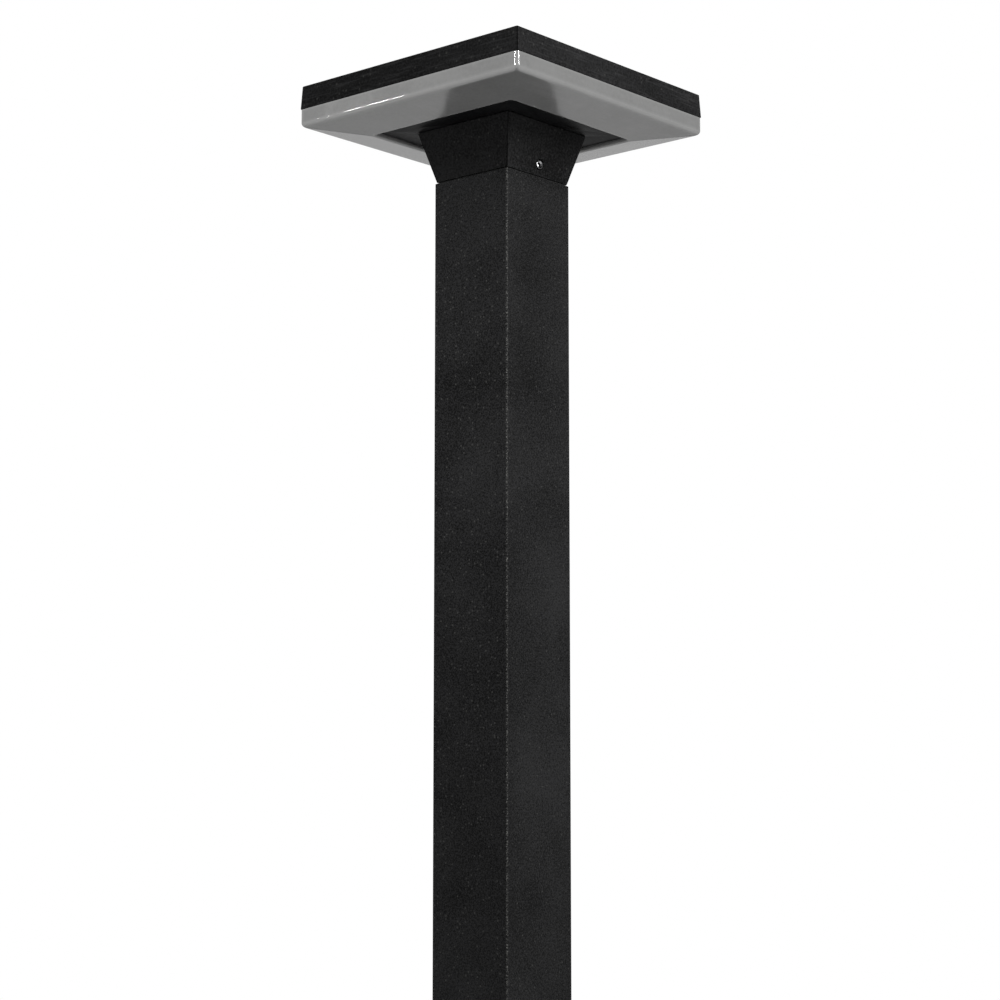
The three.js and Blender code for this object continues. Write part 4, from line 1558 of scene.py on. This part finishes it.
@dataclass
class Wiring:
    """The driver, terminal block, gland, earth point and leads inside the head."""

    finishes: Finishes
    case_half: float = 52 * MM
    case_rounding: float = 1.2 * MM
    foot_thickness: float = 3 * MM
    foot_inset: float = 4 * MM
    foot_hole: float = 1.8 * MM
    rib_pitch: float = 6 * MM
    rib_half: float = 1.1 * MM
    rib_inset: float = 3 * MM
    poles: tuple[int, ...] = (-1, 0, 1)
    pole_screw: float = 1.8 * MM
    screw_floor: float = 10.3 * MM
    slot_floor: float = 11.6 * MM
    slot_half: float = 0.3 * MM
    gland_bore: float = 4.5 * MM
    gland_dome: float = 9 * MM
    gland_thread: float = 8 * MM
    gland_hexagon: float = 11 * MM
    gland_pitch: float = 1.5 * MM
    gland_ribs: int = 18
    plate_gap: float = 0.3 * MM
    tag_radius: float = 1.9 * MM

    def driver(self) -> None:
        """Builds the driver's case with cooling ribs and fixing feet."""
        low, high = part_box("driver")
        foot_x = -middle_of("driver_screw_left").x
        body, inset = self.case_half, self.foot_inset
        mesh = bmesh.new()
        slab(mesh, Vector((-body, low.y, low.z)), Vector((body, high.y, high.z - 1 * MM)),
             self.case_rounding)
        for side in (1, -1):
            ends = sorted((side * (body - inset), side * high.x))
            slab(mesh, Vector((ends[0], low.y + inset, low.z)),
                 Vector((ends[1], high.y - inset, low.z + self.foot_thickness)), 0.5 * MM)
        case = Piece.from_mesh("driver_case", mesh, self.finishes.case, Body.HEAD, ["driver"])
        middle = (low.y + high.y) / 2

        def foot_holes(cut: EditMesh) -> None:
            """Draws the holes in the two feet."""
            for side in (1, -1):
                turned(cut, [Turn(self.foot_hole, 0), Turn(self.foot_hole, 6 * MM)], False,
                       Vector((side * foot_x, middle, low.z - 1 * MM)))

        carved(case, foot_holes)
        ribs = bmesh.new()
        reach = body - self.rib_pitch
        for index in range(int(2 * reach / self.rib_pitch) + 1):
            x = -reach + index * self.rib_pitch
            slab(ribs, Vector((x - self.rib_half, low.y + self.rib_inset, high.z - 1.6 * MM)),
                 Vector((x + self.rib_half, high.y - self.rib_inset, high.z)), 0.4 * MM, 2)
        Piece.from_mesh("driver_ribs", ribs, self.finishes.case, Body.HEAD)

    def terminal_screws(self) -> None:
        """Builds the slotted brass screws down the terminal block's wells."""
        low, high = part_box("terminal_block")
        pitch = (high.x - low.x) / len(self.poles)
        middle = (low.y + high.y) / 2
        mesh = bmesh.new()
        for pole in self.poles:
            spot = Vector((pole * pitch, middle, low.z + self.screw_floor))
            turned(mesh, [
                Turn(0.4 * MM, 0), Turn(self.pole_screw, 0), Turn(self.pole_screw, 1.6 * MM),
                Turn(self.pole_screw - 0.3 * MM, 2.0 * MM), Turn(0.4 * MM, 2.0 * MM),
            ], False, spot, 28)
        screws = Piece.from_mesh("terminal_screws", mesh, self.finishes.brass, Body.HEAD)

        def slots(cut: EditMesh) -> None:
            """Draws the screwdriver slots."""
            for pole in self.poles:
                x = pole * pitch
                slab(cut, Vector((x - self.slot_half, middle - 3 * MM, low.z + self.slot_floor)),
                     Vector((x + self.slot_half, middle + 3 * MM, low.z + 13 * MM)), 0.05 * MM, 1)

        carved(screws, slots)

    def gland(self) -> None:
        """Builds the cable gland: hexagon, ribbed dome, thread and bore."""
        low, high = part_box("cable_gland")
        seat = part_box("recess_plate")[0].z - self.plate_gap
        bore, dome, thread = self.gland_bore, self.gland_dome, self.gland_thread
        hexagon, chamfer = self.gland_hexagon, self.gland_hexagon - 0.2 * MM
        mesh = bmesh.new()
        section = [
            Turn(bore, low.z + 0.4 * MM), Turn(bore + 0.4 * MM, low.z),
            Turn(dome - 2.5 * MM, low.z), Turn(dome - 0.8 * MM, low.z + 1.5 * MM),
            Turn(dome, low.z + 4 * MM), Turn(dome, seat - 5.2 * MM),
            Turn(chamfer, seat - 5 * MM, 6), Turn(hexagon, seat - 4.6 * MM, 6),
            Turn(hexagon, seat - 0.3 * MM, 6), Turn(chamfer, seat, 6), Turn(thread, seat),
        ]
        for index in range(int((high.z - seat - 1 * MM) / self.gland_pitch)):
            start = seat + 0.3 * MM + index * self.gland_pitch
            section += [Turn(thread - 0.5 * MM, start), Turn(thread, start + 0.5 * self.gland_pitch)]
        section += [Turn(thread - 0.6 * MM, high.z), Turn(bore, high.z)]
        turned(mesh, section, True, Vector(), 48)
        for index in range(self.gland_ribs):
            angle = 2 * math.pi * index / self.gland_ribs
            spot = Vector((dome * math.cos(angle), dome * math.sin(angle), 0)) * 0.98
            turned(mesh, [
                Turn(0.15 * MM, low.z + 3.4 * MM), Turn(0.6 * MM, low.z + 4.4 * MM),
                Turn(0.6 * MM, seat - 6 * MM), Turn(0.15 * MM, seat - 5.2 * MM),
            ], False, spot, 10)
        Piece.from_mesh("gland_ribbed", mesh, self.finishes.nylon, Body.HEAD, ["cable_gland"])

    def ring_tag(self) -> None:
        """Builds the crimped barrel that joins the earth lead to its washer."""
        low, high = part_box("earth_lead")
        spot = Vector((high.x - 0.4 * MM, middle_of("earth_washer").y, low.z + 1.3 * MM))
        lay = Matrix.Rotation(math.pi / 2, 3, "Y")
        full = self.tag_radius
        mesh = bmesh.new()
        turned(mesh, [
            Turn(full - 0.4 * MM, -5 * MM), Turn(full, -5 * MM), Turn(full, -3 * MM),
            Turn(full - 0.3 * MM, -2.4 * MM), Turn(full, -1.8 * MM), Turn(full, 0),
            Turn(full - 0.7 * MM, 0.4 * MM),
        ], False, spot, 24, lay)
        Piece.from_mesh("earth_ring_tag", mesh, self.finishes.tin, Body.HEAD)

    def build(self) -> None:
        """Builds and dresses everything electrical."""
        self.driver()
        self.terminal_screws()
        self.gland()
        self.ring_tag()
        dress(["driver_screw_right", "driver_screw_left", "earth_screw", "earth_washer"],
              self.finishes.stainless, softness=0.12 * MM)
        dress(["terminal_block"], self.finishes.cream, softness=0.3 * MM)
        dress(["gland_locknut"], self.finishes.nylon, softness=0.3 * MM)
        dress(["earth_lead"], self.finishes.earth, softness=0.0)
        dress(["driver_lead", "led_lead"], self.finishes.grey_lead, softness=0.0)


# ------------------------------------------------------------------ studio


@dataclass(frozen=True)
class Softbox:
    """One rectangular light, aimed at a height on the post's axis.

    It stands at an azimuth in degrees from the front, counted towards +X, and at a distance from
    the axis and a height in metres. Then come its width, how tall it is, its brightness, the height
    that it aims at, whether shiny surfaces mirror it, and the one piece that it lights, if not all.
    """

    name: str
    azimuth: float
    distance: float
    height: float
    width: float
    tall: float
    brightness: float
    aim_height: float = 0.9
    mirrored: bool = True
    only_on: str = ""

    def place(self) -> None:
        """Puts the light in the scene, on every piece or only on the one it names."""
        light = bpy.data.lights.new(self.name, "AREA")
        light.shape = "RECTANGLE"
        light.size, light.size_y = self.width, self.tall
        light.energy = self.brightness * math.pi * self.width * self.tall
        angle = math.radians(self.azimuth)
        holder = bpy.data.objects.new(self.name, light)
        holder.location = (self.distance * math.sin(angle), -self.distance * math.cos(angle), self.height)
        aim = Vector((0, 0, self.aim_height)) - holder.location
        holder.rotation_euler = aim.to_track_quat("-Z", "Y").to_euler()
        holder.visible_camera = False
        holder.visible_glossy = self.mirrored
        bpy.context.scene.collection.objects.link(holder)
        if self.only_on:
            lit = bpy.data.collections.new(f"lit_by_{self.name}")
            lit.objects.link(bpy.data.objects[self.only_on])
            holder.light_linking.receiver_collection = lit


@dataclass
class Studio:
    """Camera, floor, surroundings and lights.

    Each glint is an azimuth, a width and a brightness.
    """

    azimuth: float = 41.03
    tilt_up: float = 7.402
    distance: float = 1.9021
    side_step: float = 0.0017
    eye_below_post_top: float = 0.5137
    lens: float = 83.645
    floor_radius: float = 4.0
    surround: float = 0.3
    head_height: float = 1.17
    glint_distance: float = 2.5
    glint_height: float = 1.46
    glint_tall: float = 0.05
    glints: tuple[tuple[float, float, float], ...] = (
        (-43.43, 0.004, 200.0), (-42.93, 0.005, 200.0), (-42.32, 0.008, 600.0), (-42.04, 0.005, 220.0),
        (-41.82, 0.006, 350.0), (-41.61, 0.008, 600.0), (-41.14, 0.008, 350.0), (-40.82, 0.010, 500.0),
        (-40.46, 0.012, 700.0), (-40.04, 0.008, 300.0), (-39.68, 0.008, 250.0),
    )

    def camera(self) -> None:
        """Puts the camera low in front of the near corner, looking slightly up."""
        data = bpy.data.cameras.new("corner_view")
        data.lens = self.lens
        data.sensor_width = 36.0
        data.clip_start = 0.05
        data.clip_end = 60.0
        angle = math.radians(self.azimuth)
        right = Vector((math.cos(angle), math.sin(angle), 0))
        back = Vector((math.sin(angle), -math.cos(angle), 0))
        view = bpy.data.objects.new("corner_view", data)
        view.location = self.distance * back - self.side_step * right
        view.location.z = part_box("post")[1].z - self.eye_below_post_top
        view.rotation_euler = (math.radians(90 + self.tilt_up), 0, angle)
        bpy.context.scene.collection.objects.link(view)
        bpy.context.scene.camera = view

    def floor(self) -> None:
        """Lays the pale floor."""
        mesh = bmesh.new()
        bmesh.ops.create_circle(mesh, cap_ends=True, segments=96, radius=self.floor_radius)
        data = bpy.data.meshes.new("studio_floor")
        mesh.to_mesh(data)
        mesh.free()
        floor = bpy.data.objects.new("studio_floor", data)
        data.materials.append(PaleFloor().make())
        bpy.context.scene.collection.objects.link(floor)

    def surroundings(self) -> None:
        """Sets a white backdrop whose light on the object is dimmer than it looks."""
        world = bpy.data.worlds.new("white_room")
        world.use_nodes = True
        tree = world.node_tree
        tree.nodes.clear()
        graph = Graph(tree)
        seen = graph.add("ShaderNodeBackground")
        felt = graph.add("ShaderNodeBackground")
        graph.feed(seen.inputs[0], (1.0, 1.0, 1.0))
        graph.feed(felt.inputs[0], (1.0, 1.0, 1.0))
        felt.inputs[1].default_value = self.surround
        blend = graph.add("ShaderNodeMixShader")
        graph.feed(blend.inputs[0], graph.add("ShaderNodeLightPath").outputs["Is Camera Ray"])
        tree.links.new(felt.outputs[0], blend.inputs[1])
        tree.links.new(seen.outputs[0], blend.inputs[2])
        tree.links.new(blend.outputs[0], graph.add("ShaderNodeOutputWorld").inputs[0])
        bpy.context.scene.world = world
        bpy.context.scene.view_settings.view_transform = "Standard"

    def lights(self) -> None:
        """Places the softboxes, the lights that reach one piece only, and the glows behind."""
        ring, post = "opal_ring", "post_tube"
        head = self.head_height
        for softbox in (
            Softbox("softbox_left", -4.0, 2.6, 2.9, 0.6, 1.4, 20.0, 1.2),
            Softbox("softbox_right", 99.0, 2.7, 2.2, 0.6, 1.2, 45.0, 1.2),
            Softbox("post_fill_left", -14.0, 0.36, 0.93, 0.1, 0.15, 19.0, 0.93, False, post),
            Softbox("post_fill_right", 104.0, 0.42, 0.93, 0.1, 0.15, 9.0, 0.93, False, post),
            Softbox("corner_strip_left", -25.0, 2.6, 1.98, 0.2, 0.2, 320.0, head, only_on=ring),
            Softbox("corner_strip_right", 85.0, 2.6, 1.98, 0.1, 0.2, 320.0, head, only_on=ring),
            Softbox("ring_fill_left", -15.0, 2.4, 1.3, 0.8, 0.5, 32.0, head, False, ring),
            Softbox("ring_fill_right", 105.0, 2.4, 1.3, 0.8, 0.5, 16.0, head, False, ring),
            Softbox("backdrop_glow", 221.0, 4.2, 1.6, 5.0, 2.6, 0.42),
            Softbox("floor_glow", 221.0, 2.2, 1.6, 2.4, 1.6, 1.2, 0.0, mirrored=False),
        ):
            softbox.place()
        for index, (azimuth, width, brightness) in enumerate(self.glints):
            Softbox(f"glint_{index}", azimuth, self.glint_distance, self.glint_height, width,
                    self.glint_tall, brightness, head, only_on=ring).place()

    def build(self) -> None:
        """Builds the studio, without its lights."""
        self.camera()
        self.floor()
        self.surroundings()


def main() -> None:
    """Builds the light piece by piece."""
    logging.basicConfig(level=logging.INFO, format="%(name)s: %(message)s")
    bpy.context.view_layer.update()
    studio = Studio()
    studio.build()
    finishes = Finishes()
    for assembly in (StandingPost(finishes), Neck(finishes), LampShell(finishes),
                     LightSource(finishes), Wiring(finishes)):
        assembly.build()
    studio.lights()
    LOG.info("packed and visible boxes written")


if __name__ == "__main__":
    main()
